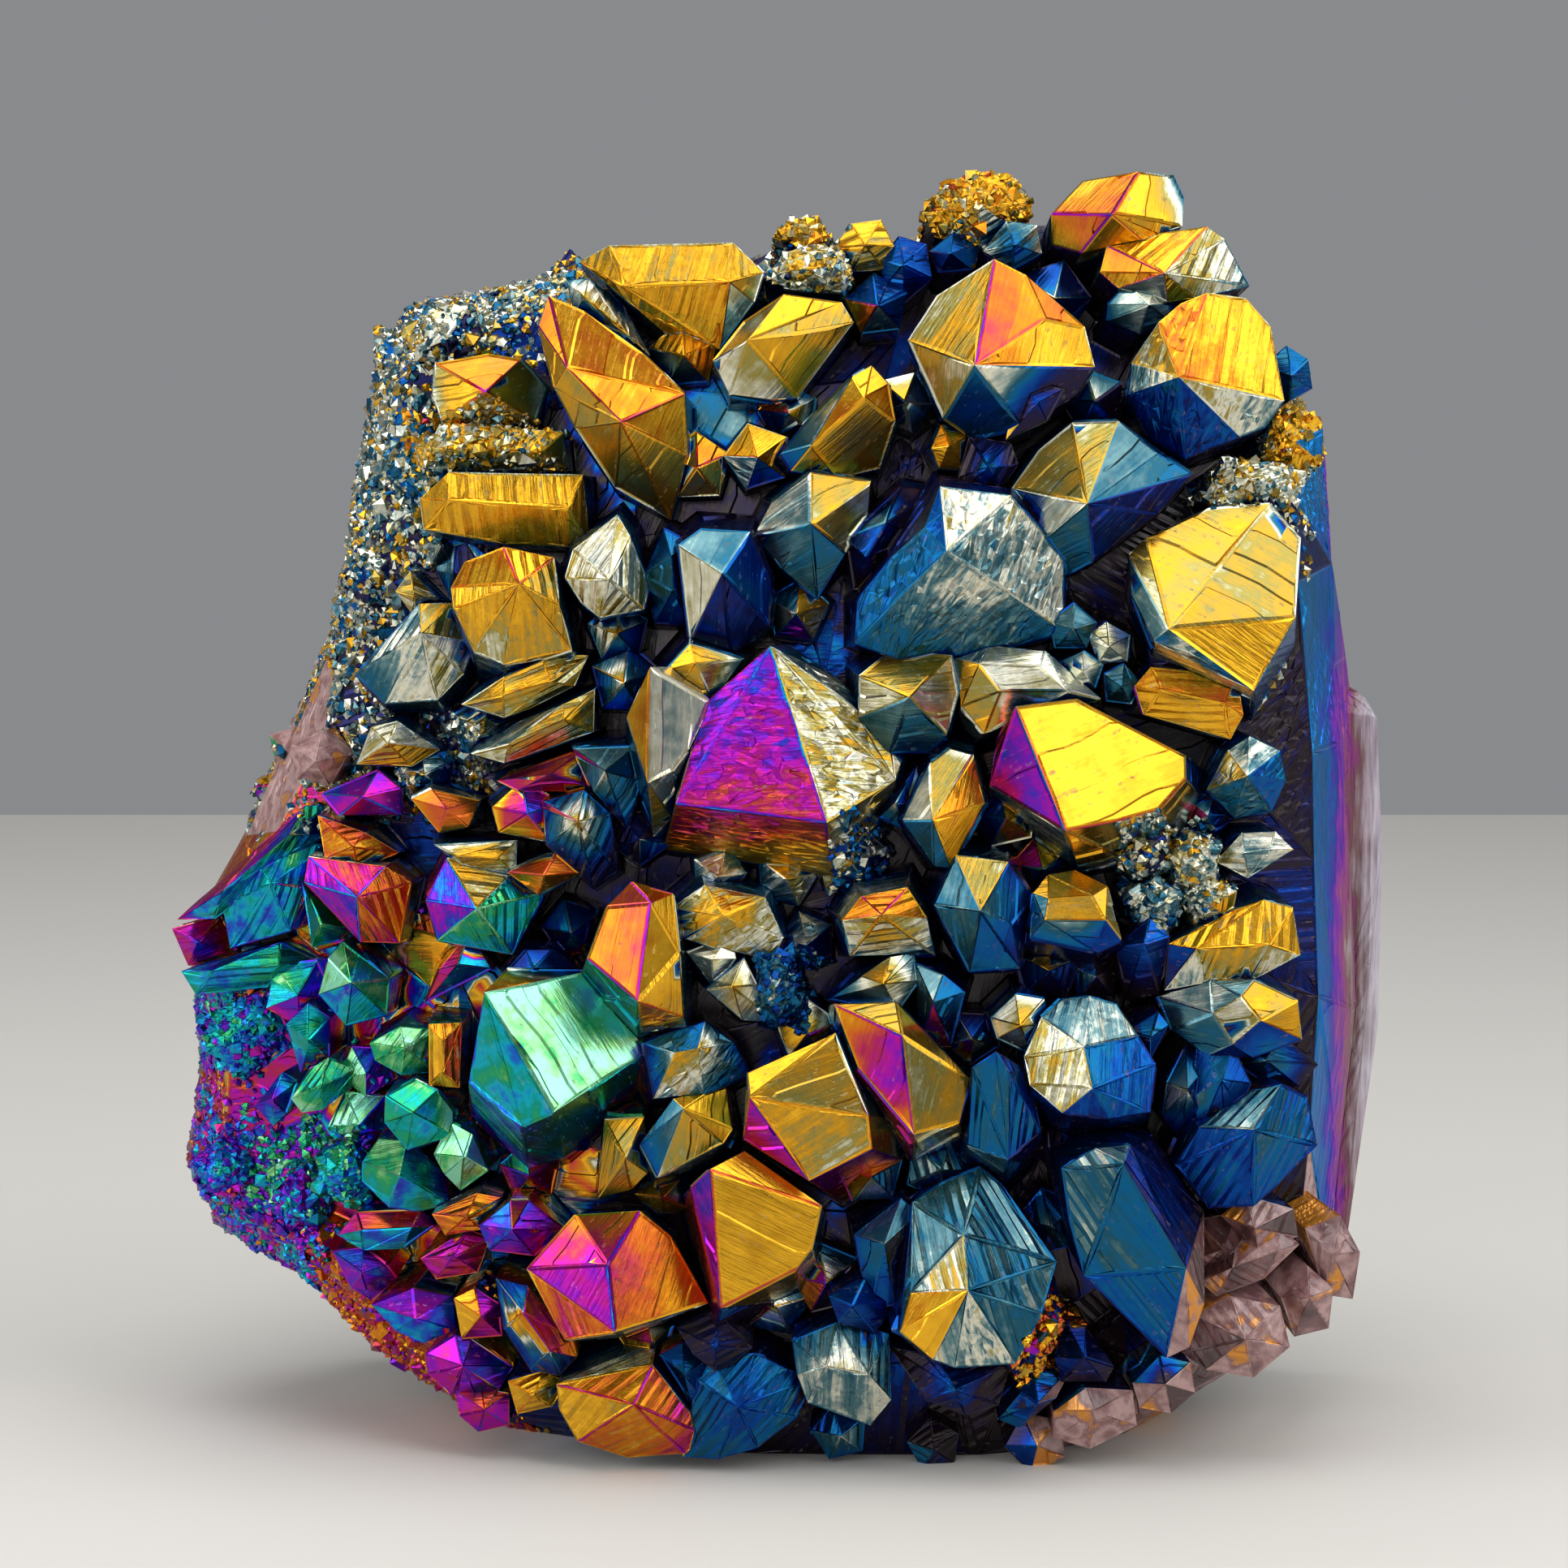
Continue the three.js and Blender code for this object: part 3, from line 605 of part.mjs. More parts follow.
// One of them, along a direction, with five or six sides.
function sprig(root, direction, radius, height) {
  const turn = new THREE.Quaternion().setFromUnitVectors(new THREE.Vector3(0, 0, 1), direction);
  const sides = random() < 0.5 ? 5 : 6;
  const start = between(0, Math.PI);
  const tip = new THREE.Vector3(between(-0.3, 0.3) * radius, between(-0.3, 0.3) * radius, height);
  const points = [tip, new THREE.Vector3(0, 0, -SPRIG_ROOT)];
  for (let side = 0; side < sides; side += 1) {
    const angle = start + (side * 2 * Math.PI) / sides;
    const reach = radius * between(0.8, 1.1);
    const shoulder = height - radius * between(0.7, 1.2);
    points.push(new THREE.Vector3(reach * Math.cos(angle), reach * Math.sin(angle), shoulder));
  }
  return hull(points.map((point) => point.applyQuaternion(turn).add(root)));
}

// The block's faces where small points may stand, each with the area up to and with it.
function sprigGround(geometry) {
  const soup = geometry.toNonIndexed().attributes.position;
  const ground = [];
  let total = 0;
  for (let i = 0; i < soup.count; i += 3) {
    const triangle = new THREE.Triangle().setFromAttributeAndIndices(soup, i, i + 1, i + 2);
    const normal = triangle.getNormal(new THREE.Vector3());
    const middle = triangle.getMidpoint(new THREE.Vector3());
    const onWall = middle.x > WALL_X && normal.x > 0.5;
    const amongLarge = normal.y < -0.6 && druseShare(middle.x, middle.z) < 0.5;
    const onBack = normal.y > 0.5 || middle.y > SPRIG_BACK_Y;
    const underneath = normal.z < -0.7;
    if (onWall || amongLarge || onBack || underneath) continue;
    total += triangle.getArea();
    ground.push({ triangle, normal, upTo: total });
  }
  return ground;
}

function sprigs(geometry) {
  const ground = sprigGround(geometry);
  const total = ground[ground.length - 1].upTo;
  return Array.from({ length: SPRIG_COUNT }, () => {
    const pick = between(0, total);
    const { triangle, normal } = ground.find(({ upTo }) => upTo >= pick);
    const [u, v] = [Math.sqrt(random()), random()];
    const root = triangle.a.clone().multiplyScalar(1 - u)
      .addScaledVector(triangle.b, u * (1 - v))
      .addScaledVector(triangle.c, u * v);
    const turned = [0, 0, 0].map(() => between(-SPRIG_TURN, SPRIG_TURN));
    const direction = normal.clone().add(new THREE.Vector3(...turned)).normalize();
    const radius = between(...SPRIG_RADIUS);
    return sprig(root, direction, radius, radius * between(...SPRIG_HEIGHT));
  });
}

// Low points fill the gaps that the large ones leave.
const GAP_TRIES = 900;
const GAP_SPACING = 3.6; // no two stand closer than this
const GAP_CLEARANCE = 0.9; // nor closer than this to the rim of a large one
const GAP_INSET = 2; // nor closer than this to the block's edge
const GAP_RADIUS = [2.1, 3];
const GAP_SLOPE = [0.5, 0.9];
const GAP_LIFT = [-3, -1.5];
const GAP_SIDES = 5;

// How far a place lies outside a rim, less than nothing where it is inside.
function pastRim(x, z, rim) {
  let inside = false;
  let closest = Infinity;
  rim.forEach(([x1, z1], index) => {
    const [x2, z2] = rim[(index + 1) % rim.length];
    const [dx, dz] = [x2 - x1, z2 - z1];
    if ((z1 > z) !== (z2 > z) && x < x1 + (dx * (z - z1)) / dz) inside = !inside;
    const along = THREE.MathUtils.clamp(((x - x1) * dx + (z - z1) * dz) / (dx ** 2 + dz ** 2), 0, 1);
    closest = Math.min(closest, Math.hypot(x - x1 - along * dx, z - z1 - along * dz));
  });
  return inside ? -closest : closest;
}

function gapPoints(large) {
  const filled = [];
  for (let attempt = 0; attempt < GAP_TRIES; attempt += 1) {
    const x = between(-40, 39);
    const z = between(1, 92);
    const covered = large.some(([, , rim]) => pastRim(x, z, rim) < GAP_CLEARANCE);
    const onEdge = pastRim(x, z, blockEdge) > -GAP_INSET || druseShare(x, z) > 0.5;
    const crowded = filled.some(([, [[fx, fz]]]) => Math.hypot(fx - x, fz - z) < GAP_SPACING);
    if (covered || crowded || onEdge) continue;
    const radius = between(...GAP_RADIUS);
    const start = between(0, Math.PI);
    const rim = Array.from({ length: GAP_SIDES }, (_, side) => {
      const angle = start + (side * 2 * Math.PI) / GAP_SIDES;
      return [x + radius * Math.cos(angle), z + radius * Math.sin(angle)];
    });
    filled.push(['gap point', [[x, z]], rim, { slope: between(...GAP_SLOPE), lift: between(...GAP_LIFT) }]);
  }
  return filled;
}

// The back is rough rock: rounded lumps in rows, each out of line and turned its own way.
const LUMP_ROWS = [20, 37, 54, 71];
const LUMP_COLUMNS = [-26, -9, 9, 26];
const LUMP_Y = 21; // depth of a lump's middle
const LUMP_CORNERS = 14;
const LUMP_TURN = 2.4; // the angle between a corner and the next on the way down a lump

function lump(x, z) {
  const at = new THREE.Vector3(x + between(-4, 4), LUMP_Y + between(-2, 1), z + between(-4, 4));
  const size = new THREE.Vector3(between(10, 14), between(4.5, 7), between(9, 13));
  return hull(Array.from({ length: LUMP_CORNERS }, (_, i) => {
    const height = 1 - (2 * (i + 0.5)) / LUMP_CORNERS;
    const angle = i * LUMP_TURN + between(-0.5, 0.5);
    const reach = Math.sqrt(1 - height * height) * between(0.85, 1.1);
    return new THREE.Vector3(reach * Math.cos(angle), height, reach * Math.sin(angle)).multiply(size).add(at);
  }));
}

// The block leans in toward its upper left, so its rows stand further right the higher they are.
const ROW_SHIFT = 0.09;
const backLumps = () => LUMP_ROWS.flatMap((z) => (
  LUMP_COLUMNS.map((x) => lump(x + ROW_SHIFT * (z - BLOCK_CENTRE.z), z))
));

// All that is sawn away to leave the flat underside.
const SAWN = 200;
function sawnAway() {
  const box = new THREE.BoxGeometry(SAWN, SAWN, SAWN);
  box.translate(0, 0, CUT_Z - SAWN / 2);
  return toSolid(box);
}

function druzyCluster() {
  const blockGeometry = block();
  const large = [...topRow, ...upperMiddle, ...middle, ...lowerMiddle, ...foot, ...lowerLeft];
  const solids = [
    toSolid(blockGeometry.clone()),
    slab(),
    ...backLumps(),
    ...[...large, ...gapPoints(large)].map(crystal),
    ...sprigs(blockGeometry),
  ];
  const standing = wasm.Manifold.union(solids).subtract(sawnAway());
  const [whole] = standing.asOriginal().simplify(FINEST).decompose()
    .sort((one, other) => other.volume() - one.volume());
  const geometry = toGeometry(whole);
  partTouching(geometry);
  geometry.computeBoundingBox();
  const { min, max } = geometry.boundingBox;
  geometry.translate(-(min.x + max.x) / 2, -(min.y + max.y) / 2, -min.z);
  return geometry;
}

const coatedQuartz = new THREE.MeshStandardMaterial({ color: 0x3f7fa6, roughness: 0.25, metalness: 0.9 });
const cluster = new THREE.Mesh(druzyCluster(), coatedQuartz);
cluster.name = 'druzy_cluster';

const part = new THREE.Group();
part.add(cluster);

export default part;
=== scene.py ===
"""Aura amethyst druzy: quartz points under a thin titanium film, on a pale studio floor.

The film's colour follows its thickness. It is bare deep in the gaps, painted near black there as
shade, then blue, silver and gold on the open faces, magenta along the ridges, and cyan to mint
where it lies thickest, at the lower left.
"""

import math
import random
from collections import namedtuple
from functools import partial

import bmesh
import bpy
import numpy as np
from bpy.props import FloatProperty, FloatVectorProperty, IntProperty, PointerProperty
from mathutils import Matrix, Vector
from mathutils.bvhtree import BVHTree


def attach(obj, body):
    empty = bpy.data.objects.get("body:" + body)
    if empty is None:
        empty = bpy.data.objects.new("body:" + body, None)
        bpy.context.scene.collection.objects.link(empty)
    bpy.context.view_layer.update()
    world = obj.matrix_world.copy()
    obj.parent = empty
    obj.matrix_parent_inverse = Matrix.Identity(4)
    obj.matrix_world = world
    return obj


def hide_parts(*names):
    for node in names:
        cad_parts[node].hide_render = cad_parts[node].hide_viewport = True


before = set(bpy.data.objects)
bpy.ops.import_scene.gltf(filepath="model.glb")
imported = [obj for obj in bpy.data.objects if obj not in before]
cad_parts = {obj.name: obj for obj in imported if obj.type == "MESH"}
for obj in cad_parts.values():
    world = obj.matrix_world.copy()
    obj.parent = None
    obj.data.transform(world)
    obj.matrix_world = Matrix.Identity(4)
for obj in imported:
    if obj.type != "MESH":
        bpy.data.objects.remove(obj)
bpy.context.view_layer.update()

bl_info = {
    "name": "Aura Amethyst Druzy",
    "version": (1, 0, 0),
    "blender": (4, 5, 0),
    "location": "View3D > Sidebar > Druzy",
    "description": "Finishes a coated crystal cluster with growth lines, druse and a titanium film",
    "category": "Object",
}

NODE = "druzy_cluster"
MM = 0.001
TOUCHING = 0.001 * MM  # corners closer than this are one

# The crystals are named by where they are seen on a plane through the crystal face, in mm, from
# the place that the photo was taken from. The origin was moved afterwards to the middle of the cut.
SEEN_FROM = Vector((1.0, -338.0, 87.0))
SEEN_PLANE_Y = -12.0
RECENTRED = Vector((-0.523, -2.0, -0.6))
AIM = Vector((1.0, 0.0, 51.5))

# Half the block's width and height, rounded.
HALF_WIDTH = 48 * MM
HALF_HEIGHT = 50 * MM


def from_hex(text):
    """Turns an sRGB hex colour to linear red, green and blue."""
    values = [int(text[i:i + 2], 16) / 255 for i in (1, 3, 5)]
    return tuple(v / 12.92 if v <= 0.04045 else ((v + 0.055) / 1.055) ** 2.4 for v in values)


def colour(name, hex_text, description):
    """A colour that a user can change."""
    return FloatVectorProperty(
        name=name, description=description, default=from_hex(hex_text),
        subtype="COLOR", size=3, min=0, max=1)


def length(name, mm, description):
    """A length that a user can change, given here in mm."""
    return FloatProperty(
        name=name, description=description, default=mm * MM, unit="LENGTH", precision=5)


class DruzyFilm(bpy.types.PropertyGroup):
    """The film's colours in order, from no film to the thickest. Bare to violet are painted
    near-black shade.
    """
    # Bare, mauve and violet are near black, darker than uncoated amethyst: painted shade in the
    # gaps.
    bare: colour("Bare", "#120a0b", "Quartz with no film, deep in the gaps")
    mauve: colour("Mauve", "#1e1016", "The first trace of film")
    violet: colour("Violet", "#170f38", "Thin film at the edge of the gaps")
    navy: colour("Navy", "#08246c", "Thin film on the flanks")
    blue: colour("Blue", "#084290", "Thin film on the flanks")
    sea: colour("Sea", "#0c5a88", "Film on the lower faces")
    slate: colour("Slate", "#205061", "Film on the lower faces")
    steel: colour("Steel", "#5b7c80", "Film between blue and silver")
    silver: colour("Silver", "#dad8c4", "Film that hardly tints the light")
    olive: colour("Olive", "#8b8242", "Film between silver and gold")
    gold: colour("Gold", "#c58f1f", "Film on the faces turned up")
    yellow: colour("Yellow", "#e6ae2a", "Film on the faces turned up")
    amber: colour("Amber", "#c87b18", "Film near the ridges")
    orange: colour("Orange", "#c15826", "Film near the ridges")
    crimson: colour("Crimson", "#a82850", "Film near the ridges")
    magenta: colour("Magenta", "#a81898", "Film on the ridges")
    purple: colour("Purple", "#761ab0", "The second round of colours begins")
    indigo: colour("Indigo", "#302eb2", "Second round")
    azure: colour("Azure", "#186ac0", "Second round")
    cyan: colour("Cyan", "#16a2b6", "Second round")
    teal: colour("Teal", "#108e7e", "Second round")
    green: colour("Green", "#28985a", "Second round")
    lime: colour("Lime", "#78b878", "Second round, at the edges of the green")
    mint: colour("Mint", "#82caa6", "The thickest film")


# A film's thickness is counted in steps of these colours.
FILM_NAMES = list(DruzyFilm.__annotations__)
FILM = {name: float(step) for step, name in enumerate(FILM_NAMES)}
THICKEST = len(FILM_NAMES) - 1


class DruzyStone(bpy.types.PropertyGroup):
    """Colours of the stone where it carries no film."""
    raw_dark: colour("Raw amethyst, deep", "#3c2425", "Uncoated amethyst where it is thick")
    raw: colour("Raw amethyst", "#744f50", "Uncoated amethyst")
    raw_pale: colour("Raw amethyst, thin", "#a78581", "Amethyst where light comes through")
    raw_glow: colour("Raw amethyst, sheen", "#cc8630", "Warm sheen where a trace of film begins")
    rind: colour("Rind", "#b9b2bd", "The pale layer behind the crystals")
    rock: colour("Rock", "#6a615b", "The rock on the back")
    floor: colour("Floor", "#cfccc6", "The studio floor")


class DruzySizes(bpy.types.PropertyGroup):
    """Sizes of the surface detail."""
    ridge: length("Ridge width", 0.26, "Width of the coloured strip along each ridge")
    ridge_lift: length("Ridge lift", 0.03, "How far a face may stand above its ridge strip")
    step_spacing: length("Step spacing", 2.4, "Distance between growth steps on a smooth face")
    step_slope: length("Step slope", 0.17, "Width of the slope of a growth step")
    step_height: length("Step height", 0.13, "Most that a growth step rises or falls")
    patch: length("Patch", 1.6, "Distance between corners inside a face, so that its film can vary")
    line_spacing: length("Line spacing", 0.42, "Distance between growth lines on a striped face")
    line_depth: length("Line depth", 0.05, "How far a growth line stands out or in")
    crackle: length("Crackle", 0.54, "Width of a shard on a broken face")
    crackle_depth: length("Crackle depth", 0.1, "How far the corners of a shard stand out or in")
    grain: length("Druse grain", 0.62, "Usual width of one grain of fine druse")
    grain_count: IntProperty(
        name="Druse grains", description="Most grains of fine druse in each half", default=12500)


# Each large crystal has its middle and reach as seen, the film on its faces, the direction of its
# growth lines in degrees from level, and the look of its faces. A film is named for the side of
# the tip that the face is on. Of two joined by >, the first is at the tip, the second at the rim.
SMOOTH, STRIPED, STREAKED, CRACKLED, ROUGH = "smooth", "striped", "streaked", "crackled", "rough"
Crystal = namedtuple("Crystal", "name x z reach films lines look", defaults=(0, SMOOTH))

TOP_ROW = [
    ("long leaf", -11.5, 81.5, 8, "W amber>gold, N amber, E amber>gold, S gold", 60),
    ("brown cap", -21, 82.2, 4.5, "NW amber, E yellow>silver, S olive>sea, W amber>olive", 10),
    ("sliver", -12, 87.7, 3.5, "gold", 60, STRIPED),
    ("smooth slab", -7.5, 89.5, 7, "N gold, S gold>amber", 80, STRIPED),
    ("barred ledge", -19.8, 73.6, 7, "N gold, S yellow>gold", 88, STRIPED),
    ("rough ledge", -20.6, 77.8, 6.5, "gold>olive", 60, ROUGH),
    ("yellow wedge", 1, 86, 6, "W crimson>orange, N yellow, E gold, S gold>silver", 55),
    ("gold bolt", 5, 80, 5.5, "N amber>gold, E amber, S gold, W silver>blue", 45),
    ("crown", 17.3, 85, 7.5, "W olive, NW olive, N orange>amber, E amber>gold, SE gold, S slate, "
     "SW slate", 70),
    ("white spur", 19.9, 81.4, 2.5, "silver", 20),
    ("yellow chip", 13.3, 78.2, 2.2, "yellow"),
    ("grey chip", 16.2, 76.6, 3, "steel>sea", 60, STRIPED),
    ("striped cap", 7, 93, 2.6, "gold", 15, STRIPED),
    ("rough cap", 3, 91.2, 3.6, "gold>silver", 30, ROUGH),
    ("druse knob", 2.2, 94, 2.4, "gold", 0, ROUGH),
    ("druse ball", 15.3, 96, 4.6, "gold", 0, ROUGH),
    ("blue spear", 9.8, 91.5, 3, "blue"),
    ("blue stub", 13.4, 92.4, 2.4, "blue"),
    ("blue blade", 18, 93, 2.7, "blue>silver", 30, STRIPED),
    ("summit", 26, 95.3, 5.5, "W crimson>amber, NW amber, N gold, E yellow>gold, S yellow", 70),
    ("shoulder point", 30, 91.5, 5, "W orange>amber, N gold, E olive, S gold>orange", 60, STRIPED),
    ("grey wedge", 28, 88.6, 3, "steel>olive", 20),
    ("great shoulder", 32.5, 83.3, 7, "N amber, NE amber>olive, NW olive, W olive>slate, "
     "SW sea>blue, S blue, SE olive>steel, E olive>silver", 75, CRACKLED),
    ("edge nub", 38.6, 83.4, 2.3, "sea"),
]
UPPER_MIDDLE = [
    ("white crackle", 36, 75.2, 4.5, "silver", 20, ROUGH),
    ("gold rubble", 39, 78.5, 3, "gold", 40, ROUGH),
    ("great gold", 33.5, 67.5, 8, "N gold, NE gold, E gold>amber, SE yellow>gold, S yellow, "
     "SW sea, W olive>slate, NW olive", 150),
    ("white ledge", 31, 62.6, 3, "silver>sea", 10, STRIPED),
    ("brown slab", 31.5, 59.4, 4.5, "N amber, S gold>amber", 5, STRIPED),
    ("rainbow plate", 3, 72.2, 5, "N olive>gold, E gold>olive, S slate, W slate>steel", 30),
    ("dark twins", 9, 71.3, 4.5, "W blue, E navy, N slate", 50),
    ("streaked giant", 14.5, 68, 9, "NW sea>blue, N silver>steel, E steel>silver, S silver>sea, "
     "W sea", 65, CRACKLED),
    ("olive fan", 24.5, 75, 7.5, "SW silver>steel, NW olive, N olive, NE slate, E navy, SE navy, "
     "S slate", 40),
    ("star", 10.3, 59.3, 5, "N olive>gold, NW steel, E olive, S slate, W olive"),
    ("white table", 19, 60.8, 6, "N silver, E silver, SE silver, S olive, W olive>gold", 10),
    ("diamond 1", 22.6, 64.6, 2, "slate"),
    ("diamond 2", 25.3, 63.2, 2, "silver"),
    ("diamond 3", 23.4, 61.4, 2, "silver"),
    ("diamond 4", 26.3, 60.2, 2, "slate"),
    ("white kite", -12, 69, 4.5, "silver>olive", 70, STRIPED),
    ("teal blade", -7.4, 68.5, 4, "slate>blue", 80),
    ("grey lantern", -3.4, 67.8, 5.5, "N slate, W silver, SW steel, S navy, E sea>navy", 80),
    ("small fin", -26.6, 67, 2.2, "olive", 0, STRIPED),
    ("gold prow", -19.2, 66.5, 6, "N gold>amber, E gold, S gold>olive, W gold", 95, STRIPED),
    ("pale prow", -26, 62.5, 5.5, "N olive>gold, S silver>olive, W silver>slate", 60, STRIPED),
    ("white gable", -28, 56, 3.5, "N silver, S gold", 20, STRIPED),
    ("gold band", -18.5, 60.2, 5, "gold>olive", 25, STRIPED),
    ("gold strip", -17.5, 57, 5, "gold>olive", 25, STRIPED),
]
MIDDLE = [
    ("violet point", 0.5, 56.5, 9, "W purple>gold, SW purple>gold, S magenta>gold, SE olive>gold, "
     "E olive, NE olive", 5, CRACKLED),
    ("white twin", -8.3, 57.5, 5.5, "NW amber, W orange>silver, S silver, E silver, N silver", 80),
    ("gold twin", -5.6, 61.8, 3, "W gold, E olive"),
    ("grey stub", -12.2, 53.5, 3, "slate", 70),
    ("yellow point", 24, 54.5, 8.5, "N yellow, E yellow>gold, SE yellow>gold, S magenta>gold, "
     "SW magenta>amber, W magenta", 20),
    ("tan point", 12.7, 51, 4.5, "N olive, E amber>gold, W olive>slate, S slate", 60),
    ("pale stick", 9.6, 51.6, 2.2, "silver>blue", 60),
    ("stepped gold", 8.6, 42.4, 4, "N amber, S gold>silver", 10, STRIPED),
    ("teal chimney", 15.8, 43.3, 5, "N olive, W slate, S sea, E slate>navy", 80),
    ("pale table", 22.5, 43.5, 4.2, "N olive>gold, E olive, W slate, S olive>navy"),
    ("dark keel", 28, 40, 3.5, "blue>navy"),
    ("grey crest", 35.6, 53.3, 4, "N steel, W olive, S slate, E sea", 40, CRACKLED),
    ("oval plate", 36.5, 47.6, 3.3, "steel>olive", 0, STRIPED),
    ("frost 1", 28.2, 47.4, 2.4, "silver", 0, ROUGH),
    ("frost 2", 31.8, 46.8, 2.4, "steel>silver", 0, ROUGH),
    ("frost 3", 29, 43.6, 2.4, "steel", 0, ROUGH),
    ("frost 4", 33, 43.9, 2.4, "steel>silver", 0, ROUGH),
    ("gold block", 35, 40.5, 5.7, "N gold, S gold>silver, W gold, E gold", 80, STRIPED),
    ("white hexagon", 35, 35.2, 5.8, "F silver, N slate>silver, S navy, E gold, W slate", 5),
    ("teal diamond", 28.7, 33.7, 2.3, "sea>blue"),
    ("cream cap", 8, 37.8, 4, "olive>gold", 10),
    ("grey spear", 12.5, 36, 3.5, "W steel, E sea", 60),
    ("orange hexagon", -24.4, 50.9, 3, "orange>amber"),
    ("bicolour peak", -18.3, 50.7, 3.2, "W magenta>orange, E indigo>purple, S crimson>amber"),
    ("magenta roof", -16.5, 53.7, 4, "crimson>magenta"),
    ("striped wedge", -14.2, 49, 4, "gold>silver", 65, STRIPED),
    ("pale step", -22, 47.3, 3.5, "gold>olive", 0, STRIPED),
    ("orange oval", -17.2, 46, 3, "amber>orange"),
    ("dark green point", -22, 43.8, 4.8, "W purple>indigo, N teal, E teal>cyan, "
     "S green", 100, STRIPED),
    ("red arrow", -23.6, 38.8, 3.2, "W crimson, E azure"),
    ("gold arch", -17.6, 38.9, 3, "gold>amber"),
    ("violet kite", -9.7, 40.8, 5.5, "NW orange>amber, W purple>olive, SW purple>gold, S gold, "
     "E amber>gold", 80),
    ("white rubble", -3.4, 42.2, 4.6, "gold>silver", 30, CRACKLED),
    ("white nail", -4.3, 39.5, 2.5, "silver"),
    ("cream nail", -2.2, 37, 3, "olive>silver", 60),
    ("frosted side", 0.4, 37.3, 3, "steel>sea", 60, ROUGH),
]
LOWER_MIDDLE = [
    ("gold crackle", -5.8, 31.8, 4.4, "N slate, E gold, S gold>amber, W gold>navy", 50, CRACKLED),
    ("gold fist", -6.4, 26.2, 4.3, "N gold, E yellow, S gold>silver, W silver>blue", 80),
    ("mint point", -16.5, 33.5, 8.5, "N mint, NE mint, E green>teal, SE green>teal, S green>teal, "
     "SW cyan>green, W teal>cyan", 125),
    ("violet wedge", 2.6, 28, 6.8, "N olive>gold, NE olive>gold, E purple>magenta, "
     "SE purple>magenta, S gold>silver, SW amber, W orange>amber", 30),
    ("purple blade", 10.2, 31.3, 6, "N amber, W amber>olive, SW purple, S purple>crimson, "
     "SE gold, E olive>gold", 70),
    ("yellow table", -0.5, 18.8, 6.9, "N yellow, E yellow, SE yellow, S yellow>orange, "
     "SW magenta, W crimson>purple", 150),
    ("plum point", -11.5, 15.5, 7, "N orange>amber, NE crimson>amber, NW crimson>magenta, "
     "W magenta>crimson, SW magenta, S magenta>amber, SE crimson>amber, E crimson>amber", 60),
    ("corner gem", 8.8, 17, 4.5, "N slate, W sea, E olive, S amber>olive", 60),
    ("blue heel", 7, 12.9, 3, "blue"),
    ("storm point", 15.8, 15.7, 8.3, "N slate, W olive>slate, E slate, "
     "S slate>steel", 110, STREAKED),
    ("yellow flag", 11, 11.6, 2.7, "yellow", 60),
    ("teal pillar", 17.8, 28.3, 4.6, "N gold>olive, W slate>sea, S sea, E sea>navy", 85, STREAKED),
    ("gold bud", 19, 34.6, 2.8, "gold>steel", 30),
    ("striped drum", 24.2, 32, 5.6, "W silver>olive, N steel, E sea>blue, "
     "S sea>navy", 80, STRIPED),
    ("long blue blade", 26.3, 22.5, 5, "N slate>steel, W slate, E navy, "
     "S sea>slate", 130, STREAKED),
    ("blue blade foot", 30, 14.5, 6, "N sea, W sea, E blue>navy, S sea>blue", 130, STREAKED),
    ("white tooth", 31.3, 29.3, 4, "N slate, W silver, E sea, S silver>blue", 70),
    ("blue anvil", 36.6, 25.4, 6.2, "N steel>sea, W blue, E sea>blue, S blue", 60, STREAKED),
    ("blue barrel", 34.2, 30, 4, "sea>navy", 60),
    ("edge gem", 38.2, 31.7, 3.6, "slate>navy"),
]
FOOT = [
    ("blue rubble", -2, 4.8, 5.6, "blue>sea", 50, STREAKED),
    ("grey drum", 5.5, 7.5, 4.8, "N silver>sea, S steel>silver", 90, STRIPED),
    ("steel leaf", -4.2, 10, 3.2, "steel>slate", 20, STRIPED),
    ("gold toe", -10.8, 4.5, 6, "N amber, W gold>yellow, S amber>crimson, "
     "E amber>crimson", 45, STRIPED),
    ("blue splint", -6.5, 7.7, 2.8, "sea>blue"),
    ("dark grape", 23.9, 9.2, 3.1, "navy>violet"),
    ("blue sole", 20.3, 5.6, 3.3, "navy>sea"),
    ("teal keel", 14, 6.8, 4.6, "sea>navy", 30, STRIPED),
    ("rusty splinter", 20.4, 10.8, 3.2, "silver>amber", 60, ROUGH),
    ("mauve lump", 24.6, 4.4, 3.6, "mauve"),
    ("pale rubble", 30, 7, 2.8, "mauve>steel"),
]
